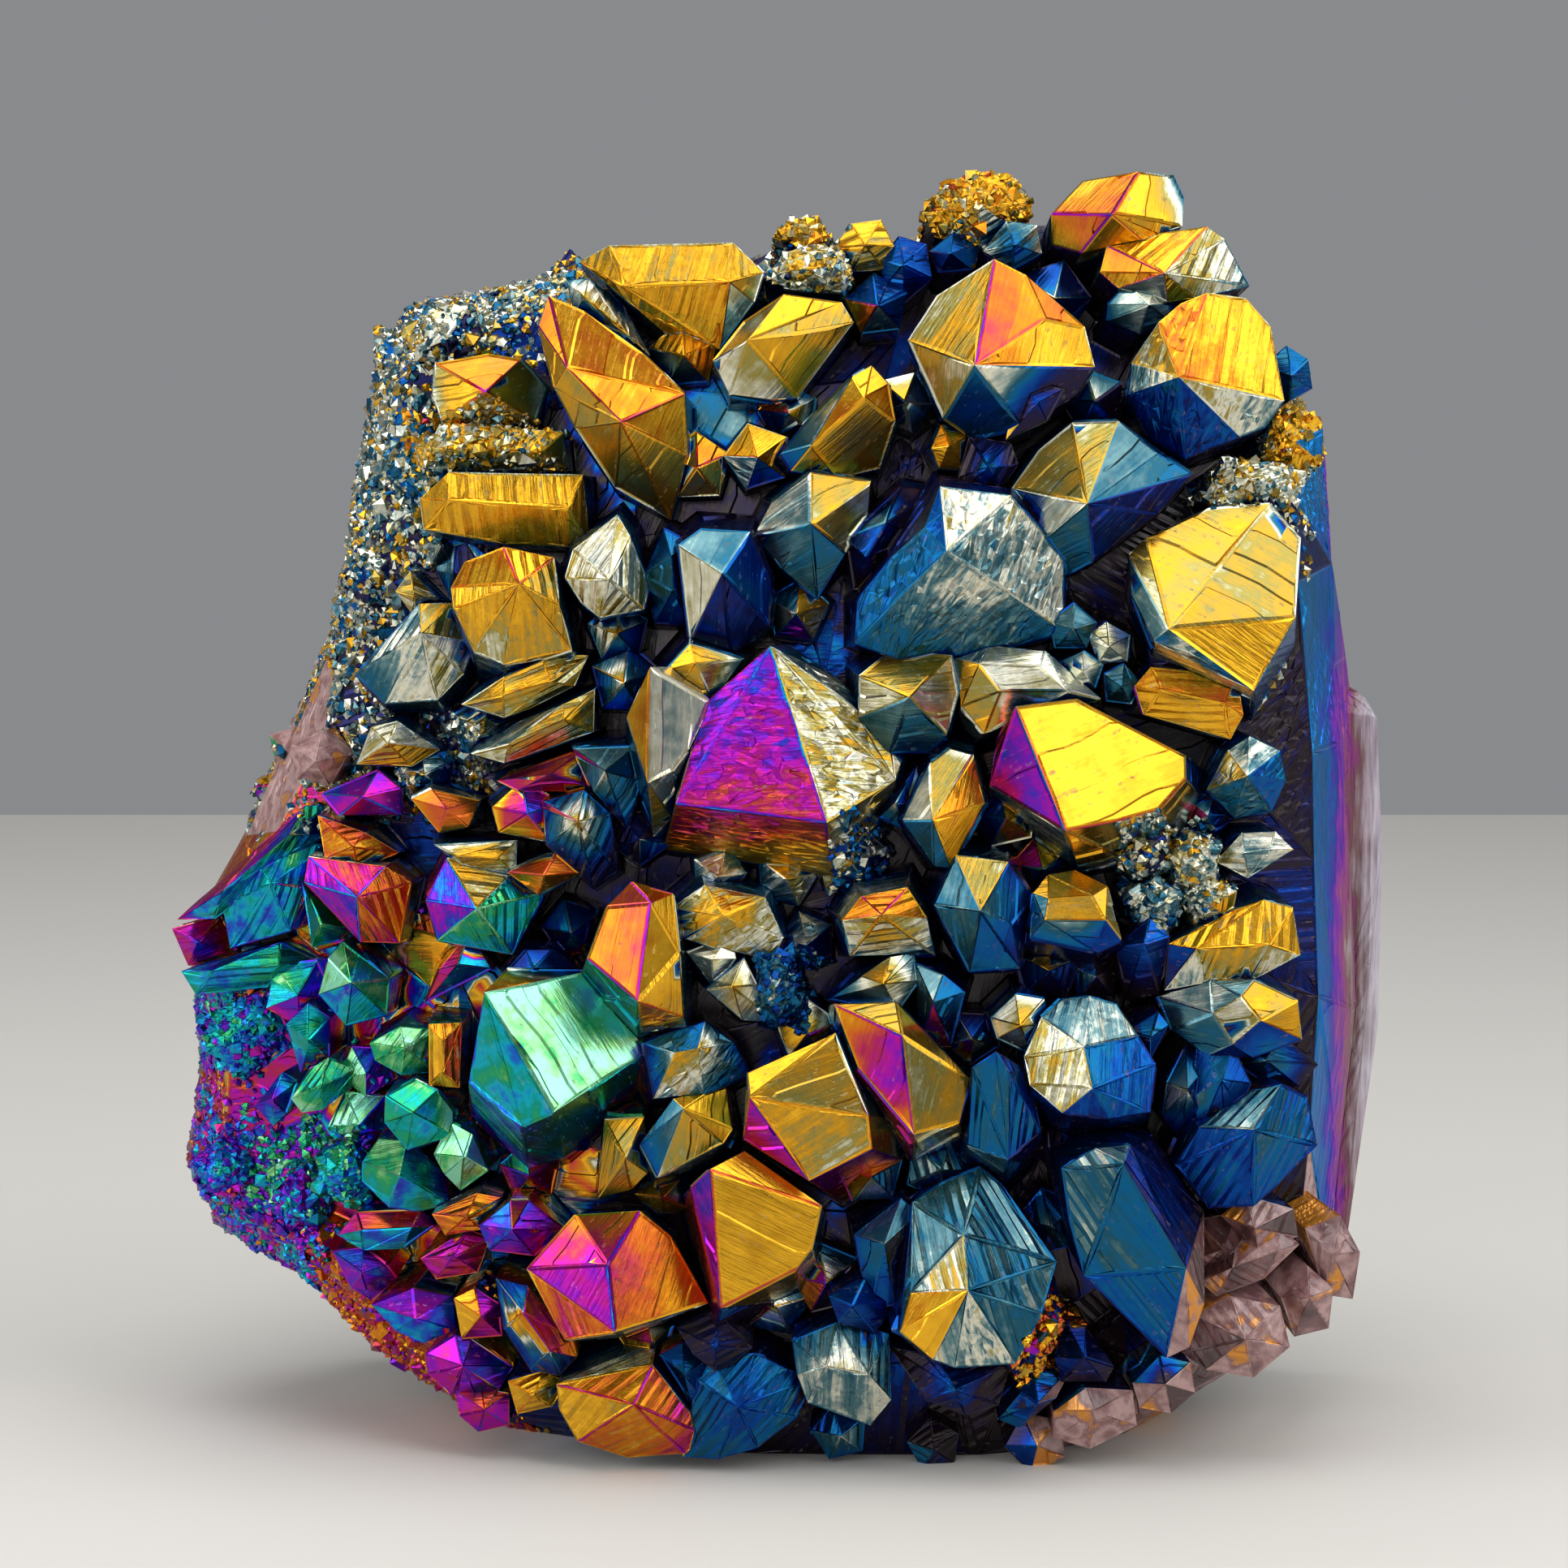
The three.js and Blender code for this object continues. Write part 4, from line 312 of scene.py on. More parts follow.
LOWER_LEFT = [
    ("violet band", -39.5, 46.7, 3.5, "magenta>purple", 45, STRIPED),
    ("cyan fan", -37.5, 44.8, 4.8, "cyan>teal", 70, STRIPED),
    ("teal comb", -42.5, 40.8, 3, "cyan>azure", 20, STRIPED),
    ("teal belt", -39.5, 38.9, 5, "cyan>teal", 10, STRIPED),
    ("violet dome", -30.6, 52, 3.3, "magenta>indigo"),
    ("gold delta", -31.2, 48, 3.1, "amber>orange", 20, STRIPED),
    ("lilac point", -31, 44, 4.6, "W purple>magenta, N crimson, E orange>amber, "
     "S amber>magenta", 110, STRIPED),
    ("green delta", -33.4, 42.3, 2.7, "green>teal"),
    ("lime point", -31.4, 37.6, 3.7, "W lime>mint, N teal>lime, E green, S cyan>teal", 60),
    ("teal oval", -35, 33.5, 2.9, "teal>azure"),
    ("rough teal", -40.3, 34, 4.6, "teal>azure", 0, ROUGH),
    ("lime fan", -27.7, 32.6, 3, "lime>green", 60, STRIPED),
    ("gold rods", -24.8, 32.2, 2.8, "yellow>amber", 92, STRIPED),
    ("cyan dome", -33.9, 29.8, 3, "cyan>mint", 60, STRIPED),
    ("blue arrow", -37.5, 28.8, 2.3, "indigo>azure"),
    ("green boss", -26.8, 27.6, 3.2, "N green, W teal>green, E cyan>mint, S teal", 60),
    ("mint chip", -23.4, 24.4, 2.9, "mint>lime", 60),
    ("teal dome", -27.8, 23, 3.7, "N green>teal, S azure>teal, E cyan, W teal"),
    ("teal fin", -32.2, 22.8, 3.1, "azure>teal", 0, ROUGH),
    ("cyan bar", -29.2, 18.8, 4.2, "N orange>magenta, S cyan>azure"),
    ("violet knot", -31, 15.5, 2.7, "purple>indigo"),
    ("blue plate", -27.2, 12.1, 3.7, "N magenta>purple, S azure>indigo, E indigo, W azure"),
    ("brown dome", -19, 18.8, 3.9, "N amber>magenta, S indigo>purple, E purple, W azure>indigo"),
    ("orange rib", -23, 19.9, 3.1, "amber>orange", 0, STRIPED),
    ("magenta rib", -24, 16.9, 3.1, "magenta>crimson", 0, STRIPED),
    ("pink flute", -17.9, 11, 4.5, "N orange>yellow, W magenta>orange, E indigo>magenta, "
     "S crimson>yellow", 120, STRIPED),
    ("magenta fin", -22, 12, 2.6, "W amber>yellow, E magenta"),
    ("violet block", -23.2, 8.2, 4, "W magenta>purple, N purple, E indigo, S purple>indigo"),
    ("pink box", -22, 4.6, 2.7, "N orange, S magenta, E magenta, W crimson>magenta"),
    ("gold chip", -18, 6.1, 2.7, "gold>amber", 30, STRIPED),
    ("gold knuckle", -11.2, 24.5, 3.4, "olive>gold", 60),
    ("cyan lump", -42, 23.3, 2.6, "azure>indigo", 0, ROUGH),
]
CRYSTALS = [Crystal(*row) for row in
            TOP_ROW + UPPER_MIDDLE + MIDDLE + LOWER_MIDDLE + FOOT + LOWER_LEFT]

# The large crystals whose ridges run to magenta. The others' ridges are only a little darker.
RED_RIDGES = {
    "long leaf", "brown cap", "yellow wedge", "crown", "summit", "shoulder point", "gold prow",
    "white twin", "violet point", "yellow point", "white table", "violet kite", "stepped gold",
    "violet wedge", "purple blade", "yellow table", "plum point", "gold toe", "bicolour peak",
    "magenta roof", "dark green point", "lilac point", "pink flute", "pink box", "violet dome",
    "red arrow", "storm point",
}

# Crystals whose left faces are banded level: films by height as seen, in mm.
BANDS = {
    "violet point": [(40, "slate"), (43.5, "steel"), (45.5, "olive"), (47.3, "gold"),
                     (48.6, "orange"), (50, "crimson"), (53, "magenta"), (61, "purple")],
    "plum point": [(5, "amber"), (8, "crimson"), (11, "magenta"), (15, "magenta"), (19, "orange"),
                   (22, "gold")],
}

# Single facets with a film and a look of their own, by the middle as seen, in mm.
FACETS = [
    (-0.3, 25.6, "purple>magenta", SMOOTH), (4.1, 25.9, "gold>olive", STRIPED),
    (8, 31.7, "purple>amber", SMOOTH), (8.1, 29, "purple", SMOOTH), (9.9, 25.5, "purple", SMOOTH),
    (35.2, 63.2, "yellow", SMOOTH), (37.7, 61.4, "yellow>silver", STRIPED),
    (36.6, 68.8, "olive", SMOOTH), (39.5, 67.4, "gold>silver", STRIPED),
    (32, 70.8, "olive>gold", SMOOTH), (26.9, 67.3, "slate>sea", STREAKED),
    (15.9, 10.1, "silver>steel", CRACKLED), (12, 17.6, "slate", STREAKED),
    (17.2, 16.1, "slate", STREAKED), (21.6, 14.4, "slate>steel", SMOOTH),
    (34.8, 86.1, "amber>gold", STRIPED), (4.6, 55.4, "olive", CRACKLED),
    (-13.2, 34.4, "mint", SMOOTH), (-13, 27.2, "green>teal", SMOOTH),
    (-21.2, 26.8, "cyan>teal", STREAKED), (-9.4, 15.6, "crimson>amber", SMOOTH),
    (-38.9, 27.3, "teal>azure", CRACKLED), (20, 49.1, "magenta>gold", STRIPED),
    (19, 53.5, "magenta>purple", SMOOTH),
]
FACET_MATCH = 0.5

COMPASS = {"E": 0, "NE": 45, "N": 90, "NW": 135, "W": 180, "SW": 225, "S": 270, "SE": 315}


def read_films(text):
    """Reads a crystal's films as a list of side, film at the tip and film at the rim."""
    films = []
    for entry in text.split(","):
        words = entry.split()
        tip, _, rim = words[-1].partition(">")
        side = words[0] if len(words) > 1 else None
        films.append((side, FILM[tip], FILM[rim or tip]))
    return films


FILMS_OF = [read_films(crystal.films) for crystal in CRYSTALS]
LEVEL_BANDS = {name: [(height, FILM[film]) for height, film in bands]
               for name, bands in BANDS.items()}

# The films between the large crystals, and where they lie as seen, in mm. The lower left has the
# rainbow colours, its edges the redder ones, and the upper left those from blue to yellow.
# Elsewhere the film runs from navy, on faces turned down, to yellow or silver. The navy there is
# partly painted shade on the faces turned down.
RAINBOW = "magenta purple indigo azure cyan teal teal green crimson amber".split()
RAINBOW_X, RAINBOW_Z, RAINBOW_SLOPE = -16, 52, 0.3
RAINBOW_EDGE = "amber orange crimson magenta magenta purple indigo azure".split()
RAINBOW_EDGE_X, RAINBOW_EDGE_Z = -40, 14
UPPER_LEFT = [3.5, 4, 5, 8, 8, 10, 10, 11]
UPPER_LEFT_X = -23
SHADED_TURNED_DOWN_FILM = 2.5
BLUE_CORNER_X, BLUE_CORNER_Z = 5, 40


def seen_at(x, y, z):
    """Where a place is seen on the outline plane, before the origin was moved."""
    reach = (SEEN_PLANE_Y - SEEN_FROM.y) / (y - SEEN_FROM.y)
    return SEEN_FROM.x + (x - SEEN_FROM.x) * reach, SEEN_FROM.z + (z - SEEN_FROM.z) * reach


def seen(point):
    """Where a point in the frame, in mm, is seen on the outline plane."""
    return seen_at(*(point - RECENTRED))


def seen_array(points):
    """Where many points in the frame, in mm, are seen on the outline plane."""
    return seen_at(*(points - np.array(RECENTRED)).T)


def smooth(low, high, value):
    """Rises gently from 0 to 1 between two values."""
    share = np.clip((value - low) / (high - low), 0, 1)
    return share * share * (3 - 2 * share)


def nearest_crystal(x, z):
    """The crystal that a place belongs to, and how far out the place is, 1 being its reach."""
    away = [math.hypot(x - crystal.x, z - crystal.z) / crystal.reach for crystal in CRYSTALS]
    return away.index(min(away)), min(away)


def film_for_side(films, angle, flatness):
    """The films at tip and rim for a face whose normal points along an angle in degrees."""
    front = [entry for entry in films if entry[0] == "F"]
    if front and flatness < 0.3:
        return front[0][1:]
    sides = [entry for entry in films if entry[0] != "F"]

    def off(entry):
        if entry[0] is None:
            return 0
        return abs((angle - COMPASS[entry[0]] + 180) % 360 - 180)

    return min(sides, key=off)[1:]


def zone_films(x, z, normal, draw):
    """The film between the large crystals: by the part of the stone, then by the face's turn."""
    turned_up = -0.5 * normal.x - 0.55 * normal.y + 0.65 * normal.z
    if x < RAINBOW_X and z < RAINBOW_Z - RAINBOW_SLOPE * (x - RAINBOW_X):
        film = FILM[draw.choice(RAINBOW)]
        if z < RAINBOW_EDGE_Z or x < RAINBOW_EDGE_X:
            film = FILM[draw.choice(RAINBOW_EDGE)]
        return film, film + draw.uniform(-2, 2)
    if x < UPPER_LEFT_X:
        film = draw.choice(UPPER_LEFT)
        return film, film + draw.uniform(-1, 1)
    gold = z > BLUE_CORNER_Z or x < BLUE_CORNER_X
    # A face turned down gets a thin navy film: partly painted shade.
    low, high = SHADED_TURNED_DOWN_FILM, FILM["yellow"] if gold else FILM["silver"]
    film = low + (high - low) * smooth(-0.1, 0.95, turned_up + draw.uniform(-0.15, 0.15))
    return film, film - 1


# Zones of the surface, and their ends in mm: x and z as seen, and the depth y in the frame.
COATED, WALL, SLAB, ROCK, CUT, RAW = range(6)
CUT_LEVEL = 0.02
SLAB_X, SLAB_FOOT, SLAB_HEAD, SLAB_Y = 44.3, 7, 59, -2
CORNER_X, CORNER_END_X, CORNER_Z, CORNER_Y = 31, 44, 21.5, 6
CORNER_BEND_X, CORNER_SLOPE = 36, 0.5
WALL_X, WALL_Y = 40.2, -19
DEEP_WALL_X, DEEP_WALL_Y = 41.6, -9
ROCK_Y, TURNED_ROCK_Y = 9, -2
UNDERSIDE_X, UNDERSIDE_Z = 20.5, 6.6
LEFT_EDGE_X, LEFT_EDGE_Z = (-37, -32), (53, 57.5)
MATERIAL_OF_ZONE = {COATED: 0, WALL: 2, SLAB: 2, ROCK: 1, CUT: 1, RAW: 3}


def zone_of(centre, normal):
    """The zone of a facet, by its middle in mm, where that is seen, and which way it faces."""
    x, z = seen(centre)
    if normal.z < -0.9 and centre.z < CUT_LEVEL:
        return CUT
    if x > SLAB_X and SLAB_FOOT < z < SLAB_HEAD and centre.y > SLAB_Y:
        return SLAB
    corner_top = CORNER_Z - CORNER_SLOPE * max(0.0, CORNER_BEND_X - x)
    if CORNER_X < x < CORNER_END_X and z < corner_top and centre.y < CORNER_Y:
        return RAW
    on_side = x > WALL_X and normal.x > 0.4
    if centre.y > WALL_Y and (on_side or x > DEEP_WALL_X and centre.y > DEEP_WALL_Y):
        return WALL
    if centre.y > ROCK_Y or (normal.y > 0.35 and centre.y > TURNED_ROCK_Y):
        return ROCK
    underside = x > UNDERSIDE_X and z < UNDERSIDE_Z
    left_edge = (LEFT_EDGE_X[0] < x < LEFT_EDGE_X[1]) and (LEFT_EDGE_Z[0] < z < LEFT_EDGE_Z[1])
    return RAW if underside or left_edge else COATED


def facets():
    """The stone as flat facets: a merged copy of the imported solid."""
    stone = bmesh.new()
    stone.from_mesh(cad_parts[NODE].data)
    bmesh.ops.remove_doubles(stone, verts=stone.verts, dist=TOUCHING)
    bmesh.ops.dissolve_limit(
        stone, angle_limit=math.radians(3), verts=stone.verts, edges=stone.edges)
    stone.normal_update()
    return stone


# How far past its reach a crystal still gives a facet its film, the area from which raw facets are
# cracked, and how far back, in mm, the bands go.
CRYSTAL_END = 1.3
BIG_RAW_FACET = 15 * MM ** 2
BANDS_END_Y = -17


def describe_facet(face, draw):
    """A facet's zone, crystal and look, and its film at the tip and at the rim."""
    centre = face.calc_center_median() / MM
    normal = face.normal.copy()
    x, z = seen(centre)
    index, away = nearest_crystal(x, z)
    flatness = math.hypot(normal.x, normal.z)
    angle = math.degrees(math.atan2(normal.z, normal.x))
    if away < CRYSTAL_END:
        crystal = CRYSTALS[index]
        tip_film, rim_film = film_for_side(FILMS_OF[index], angle, flatness)
        look, lines = crystal.look, crystal.lines
    else:
        index = -1
        tip_film, rim_film = zone_films(x, z, normal, draw)
        look, lines = draw.choice([SMOOTH, STRIPED, CRACKLED]), draw.uniform(0, 180)
    for facet_x, facet_z, films, facet_look in FACETS:
        if math.hypot(x - facet_x, z - facet_z) < FACET_MATCH:
            (_, tip_film, rim_film), look = read_films(films)[0], facet_look
    zone = zone_of(centre, normal)
    if zone == RAW and face.calc_area() > BIG_RAW_FACET:
        look = CRACKLED
    name = CRYSTALS[index].name if index >= 0 else None
    banded = normal.x < 0.12 and normal.y < -0.2 and centre.y < BANDS_END_Y
    # A face turned up gets a thicker film and one turned down a thinner, darker one: partly painted
    # shade.
    turned = -0.2 * normal.x - 0.3 * normal.y + 0.5 * normal.z
    shift = draw.uniform(-0.35, 0.35) + 0.8 * (turned - 0.3)
    return {
        "zone": zone, "crystal": index, "normal": normal, "look": look, "away": away,
        "lines": lines + draw.uniform(-6, 6), "tip": tip_film + shift, "rim": rim_film + shift,
        "flank": smooth(-0.5, -0.2, normal.y), "bands": LEVEL_BANDS.get(name) if banded else None,
        "sides": side_shifts(face, tip_film, name in RED_RIDGES),
    }


# Angles in degrees over which a ridge and a seam grow sharp, and what they add to the film. A
# seam's
# thinner film makes it darker: painted shade in the crease.
RIDGE_ANGLES, RED_RIDGE, PLAIN_RIDGE = (16, 40), 3.4, 0.7
SEAM_ANGLES, SEAM_SHADE = (8, 35), -2
EDGE_ANGLE, EDGE_OF_FRONT = 20, -1.5


def side_shifts(face, film, red):
    """How much thicker the film is along each side: thicker on a ridge, thinner and darker in a
    seam, as painted shade.
    """
    shifts = []
    for loop in face.loops:
        sharp = math.degrees(loop.edge.calc_face_angle_signed(0))
        beyond = [other for other in loop.edge.link_faces if other != face]
        over_edge = beyond and beyond[0].normal.y > -0.4 and face.normal.y < -0.45
        if over_edge and sharp > EDGE_ANGLE:
            shifts.append(EDGE_OF_FRONT)
        elif sharp > 0:
            most = RED_RIDGE if red and film > FILM["olive"] else PLAIN_RIDGE
            shifts.append(smooth(*RIDGE_ANGLES, sharp) * most)
        else:
            shifts.append(smooth(*SEAM_ANGLES, -sharp) * SEAM_SHADE)
    return shifts


def along_face(normal, degrees):
    """The direction in a face that rises at so many degrees as seen from the front."""
    flat = Vector((math.cos(math.radians(degrees)), 0, math.sin(math.radians(degrees))))
    inside = flat - normal * flat.dot(normal)
    return inside.normalized() if inside.length > 0.05 else normal.orthogonal().normalized()


def inner_faces(piece):
    """The faces of a facet inside its ridge strip."""
    side = piece.faces.layers.int["side"]
    return [face for face in piece.faces if face[side] == 0]


def cut_lines(piece, across, places):
    """Cuts the inside of a facet along straight lines, at places measured across them."""
    for place in places:
        parts = list({part for face in inner_faces(piece)
                      for part in (face, *face.edges, *face.verts)})
        bmesh.ops.bisect_plane(
            piece, geom=parts, dist=TOUCHING, plane_co=across * place, plane_no=across)


def spaced(low, high, spacing, draw, uneven=0.45):
    """Uneven places between two ends."""
    places, place = [], low + spacing * draw.uniform(0.3, 0.9)
    while place < high - 0.3 * spacing:
        places.append(place)
        place += spacing * draw.uniform(1 - uneven, 1 + uneven)
    return places


def reach_across(piece, direction):
    """The two ends of a facet's inside along a direction."""
    values = [vert.co.dot(direction) for face in inner_faces(piece) for vert in face.verts]
    return min(values), max(values)


def move_inside(piece, move):
    """Moves the corners inside a facet. move gets a corner and if it is clear of the strip."""
    side, outer = piece.faces.layers.int["side"], piece.verts.layers.float["outer"]
    for vert in piece.verts:
        if vert[outer] < 0.5:
            vert.co += move(vert.co, not any(face[side] for face in vert.link_faces))


def tone_inside(piece, tone_at):
    """Gives each face inside a facet a small change of film, by its middle."""
    tone = piece.faces.layers.float["tone"]
    for face in inner_faces(piece):
        face[tone] = tone_at(face.calc_center_median())


def growth_steps(piece, about, along, across, sizes, draw):
    """A few low steps that run across a smooth face, each a little wavy."""
    low, high = reach_across(piece, across)
    gap = sizes.step_spacing * draw.uniform(0.5, 1.6)
    steps = spaced(low, high, gap, draw, 0.8)
    half = sizes.step_slope / 2
    cut_lines(piece, across, [place + shift for place in steps for shift in (-half, half)])
    cut_lines(piece, along, spaced(*reach_across(piece, along), sizes.patch, draw, 0.3))
    cut_lines(piece, across, [place for place in spaced(low, high, sizes.patch, draw, 0.3)
                              if all(abs(place - step) > 3 * half for step in steps)])
    heights = [draw.uniform(-1, 1) * sizes.step_height for _ in range(len(steps) + 1)]
    phase, wave = draw.uniform(0, 6), draw.uniform(0.25, 0.7)

    def order(spot):
        return sum(spot.dot(across) > step for step in steps)

    def move(spot, clear):
        sway = math.sin(spot.dot(along) / MM * wave + phase) * sizes.step_slope * 1.4
        return about["normal"] * heights[order(spot)] + across * (sway if clear else 0)

    move_inside(piece, move)
    tones = [draw.uniform(-0.3, 0.3) for _ in heights]
    tone_inside(piece, lambda spot: tones[order(spot)])


def growth_lines(piece, about, along, across, sizes, draw):
    """Close parallel flutes. On a streaked face a few of them are much paler."""
    streaked = about["look"] == STREAKED
    spacing = sizes.line_spacing * draw.uniform(0.8, 1.3) * (0.9 if streaked else 1)
    flutes = spaced(*reach_across(piece, across), spacing, draw)
    cut_lines(piece, across, flutes)
    cut_lines(piece, along, spaced(*reach_across(piece, along), 2.2 * sizes.patch, draw, 0.6))
    heights = [sizes.line_depth * draw.uniform(0.3, 1.4) * (1 if order % 2 else -1)
               for order in range(len(flutes) + 1)]

    def move(spot, clear):
        order = sum(spot.dot(across) > place + 2 * TOUCHING for place in flutes)
        sway = draw.uniform(-0.25, 0.25) * spacing if clear else 0
        return about["normal"] * heights[order] * draw.uniform(0.6, 1.2) + across * sway

    move_inside(piece, move)
    tones = [draw.gauss(0, 0.35) for _ in heights]
    if streaked:
        tones = [draw.uniform(0.7, 1.7) if draw.random() < 0.2 else draw.gauss(0, 0.25)
                 for _ in heights]
    tone_inside(piece, lambda spot: tones[sum(spot.dot(across) > place for place in flutes)]
                * draw.uniform(0.5, 1))


def shatter(piece, along, across, smallest, length, draw):
    """Splits the inside of a facet again and again into shards, longer along the growth lines."""
    waiting = inner_faces(piece)
    while waiting:
        face = waiting.pop()
        if face.calc_area() < smallest * draw.uniform(0.6, 2):
            continue
        spots = [vert.co for vert in face.verts]
        reach = [max(s.dot(way) for s in spots) - min(s.dot(way) for s in spots)
                 for way in (along, across)]
        way = along if reach[0] > length * reach[1] else across
        turn = Matrix.Rotation(draw.gauss(0, 0.32), 3, face.normal)
        middle = face.calc_center_median() + way * draw.uniform(-0.15, 0.15) * max(reach)
        made = bmesh.ops.bisect_plane(
            piece, geom=[face, *face.edges, *face.verts], dist=TOUCHING,
            plane_co=middle, plane_no=turn @ way)
        for part in made["geom_cut"]:
            if isinstance(part, bmesh.types.BMEdge):
                waiting.extend(part.link_faces)


def broken_patches(piece, about, along, across, sizes, draw):
    """Irregular shards, longer along the growth lines unless the face is rough."""
    area, length, deep = (0.8, 1.3, 1.2) if about["look"] == ROUGH else (1.3, 3.4, 0.75)
    shatter(piece, along, across, area * sizes.crackle ** 2, length, draw)
    depth = sizes.crackle_depth * deep
    move_inside(piece, lambda spot, clear:
                about["normal"] * depth * draw.uniform(-1, 1) * (1 if clear else 0.4))
    tone_inside(piece, lambda spot: draw.gauss(0, 0.35))


RELIEF = {SMOOTH: growth_steps, STRIPED: growth_lines, STREAKED: growth_lines,
          CRACKLED: broken_patches, ROUGH: broken_patches}


def set_in_strip(piece, face, corners, width, lift):
    """Sets a narrow strip round a facet and numbers its parts by the facet's sides."""
    side, outer = piece.faces.layers.int["side"], piece.verts.layers.float["outer"]
    strip = bmesh.ops.inset_individual(
        piece, faces=[face], thickness=width, depth=lift, use_even_offset=True)
    for part in strip["faces"]:
        for loop in part.loops:
            start, stop = loop.vert, loop.link_loop_next.vert
            if start in corners and stop in corners:
                part[side] = corners.index(start) + 1
    for vert in face.verts:
        vert[outer] = 0


# A facet gets a strip and relief if it is at least this big and if the strip leaves this much.
SMALLEST_DRESSED = 0.5 * MM ** 2
LEAST_LEFT = 0.35


def dress_facet(outline, about, sizes, draw):
    """Makes one facet as a small mesh with its ridge strip and its relief."""
    piece = bmesh.new()
    piece.faces.layers.int.new("side")
    piece.faces.layers.float.new("tone")
    outer = piece.verts.layers.float.new("outer")
    corners = [piece.verts.new(spot) for spot in outline]
    for vert in corners:
        vert[outer] = 1
    face = piece.faces.new(corners)
    face.normal_update()
    area, around = face.calc_area(), face.calc_perimeter()
    width = min(sizes.ridge, 0.12 * area / around * 2)
    left = area - 1.3 * around * width
    wide = left > LEAST_LEFT * area and area > SMALLEST_DRESSED
    if about["zone"] in (COATED, WALL, RAW) and wide:
        set_in_strip(piece, face, corners, width, sizes.ridge_lift * draw.uniform(0, 1))
        along = along_face(about["normal"], about["lines"])
        across = about["normal"].cross(along).normalized()
        RELIEF[about["look"]](piece, about, along, across, sizes, draw)
    bmesh.ops.triangulate(piece, faces=piece.faces[:])
    return piece


class Joined:
    """Collects the facets' small meshes as one list of corners and triangles."""

    def __init__(self):
        self.points, self.triangles, self.outer = [], [], []
        self.facet, self.side, self.tone = [], [], []

    def add(self, piece, number):
        """Adds a facet's mesh, with the facet's number."""
        side, tone = piece.faces.layers.int["side"], piece.faces.layers.float["tone"]
        outer = piece.verts.layers.float["outer"]
        first = len(self.points)
        for order, vert in enumerate(piece.verts):
            vert.index = order
            self.points.append(tuple(vert.co))
            self.outer.append(vert[outer])
        for face in piece.faces:
            self.triangles.append([first + vert.index for vert in face.verts])
            self.facet.append(number)
            self.side.append(face[side])
            self.tone.append(face[tone])

    def weld(self):
        """Joins the corners that touch, and drops the triangles that this closes up."""
        points = np.array(self.points)
        _, first, welded = np.unique(
            np.round(points / (0.5 * TOUCHING)), axis=0, return_index=True, return_inverse=True)
        triangles = welded.ravel()[np.array(self.triangles)]
        whole = (triangles != np.roll(triangles, 1, axis=1)).all(axis=1)
        self.points, self.outer = points[first], np.array(self.outer)[first]
        self.triangles = triangles[whole]
        for key in ("facet", "side", "tone"):
            setattr(self, key, np.array(getattr(self, key))[whole])


def dress_stone(sizes, draw):
    """Dresses every facet and returns the joined surface with what is known about it."""
    stone = facets()
    tree = BVHTree.FromBMesh(stone)
    info = [describe_facet(face, draw) for face in stone.faces]
    joined = Joined()
    for number, face in enumerate(stone.faces):
        outline = [vert.co.copy() for vert in face.verts]
        piece = dress_facet(outline, info[number], sizes, draw)
        joined.add(piece, number)
        piece.free()
    stone.free()
    joined.weld()
    return joined, info, tree


# Rays in a fan of directions test how open a place is. They start a little off the surface.
OPEN_DIRECTIONS = 16
OPEN_SPREAD = 1.1
OPEN_REACH = 14 * MM
OPEN_LIFT, OPEN_OUT = 0.25 * MM, 0.1 * MM
GOLDEN_ANGLE = 2.4


def openness(points, normals, tree):
    """How open each place is to the outside of the block, from 0 to 1."""
    fan = []
    for i in range(OPEN_DIRECTIONS):
        radius = math.sqrt((i + 0.5) / OPEN_DIRECTIONS) * OPEN_SPREAD
        turn = i * GOLDEN_ANGLE
        fan.append(Vector((radius * math.cos(turn), radius * math.sin(turn), 1)).normalized())
    found = np.zeros(len(points), np.float32)
    for i, (point, normal) in enumerate(zip(points, normals)):
        outward = Vector(((point[0] / HALF_WIDTH) ** 3, -0.8,
                          ((point[2] - HALF_HEIGHT) / HALF_HEIGHT) ** 3))
        turn = outward.to_track_quat("Z", "Y")
        start = Vector(point) + Vector(normal) * OPEN_LIFT + outward.normalized() * OPEN_OUT
        clear = sum(tree.ray_cast(start, turn @ way, OPEN_REACH)[0] is None for way in fan)
        found[i] = clear / OPEN_DIRECTIONS
    return found


# A film thins between these distances behind its crystal's point, in reaches of the crystal, and
# loses up to this share. Thick films lose less. A flank has lost FLANK_SHARE of it from the start.
# The thinner film is darker, so this is partly painted shade down the flanks.
SUNK = (0.6, 1.5)
LOSS, THICK_LOSS = 0.75, 0.2
FLANK_SHARE = 0.55
# It also thins between these shares of openness, and a facet with no crystal is halfway out.
# This paints shade into the gaps, down to near black.
GAP_OPENNESS = (0.1, 0.5)
LOOSE_FACET_OUT = 0.5


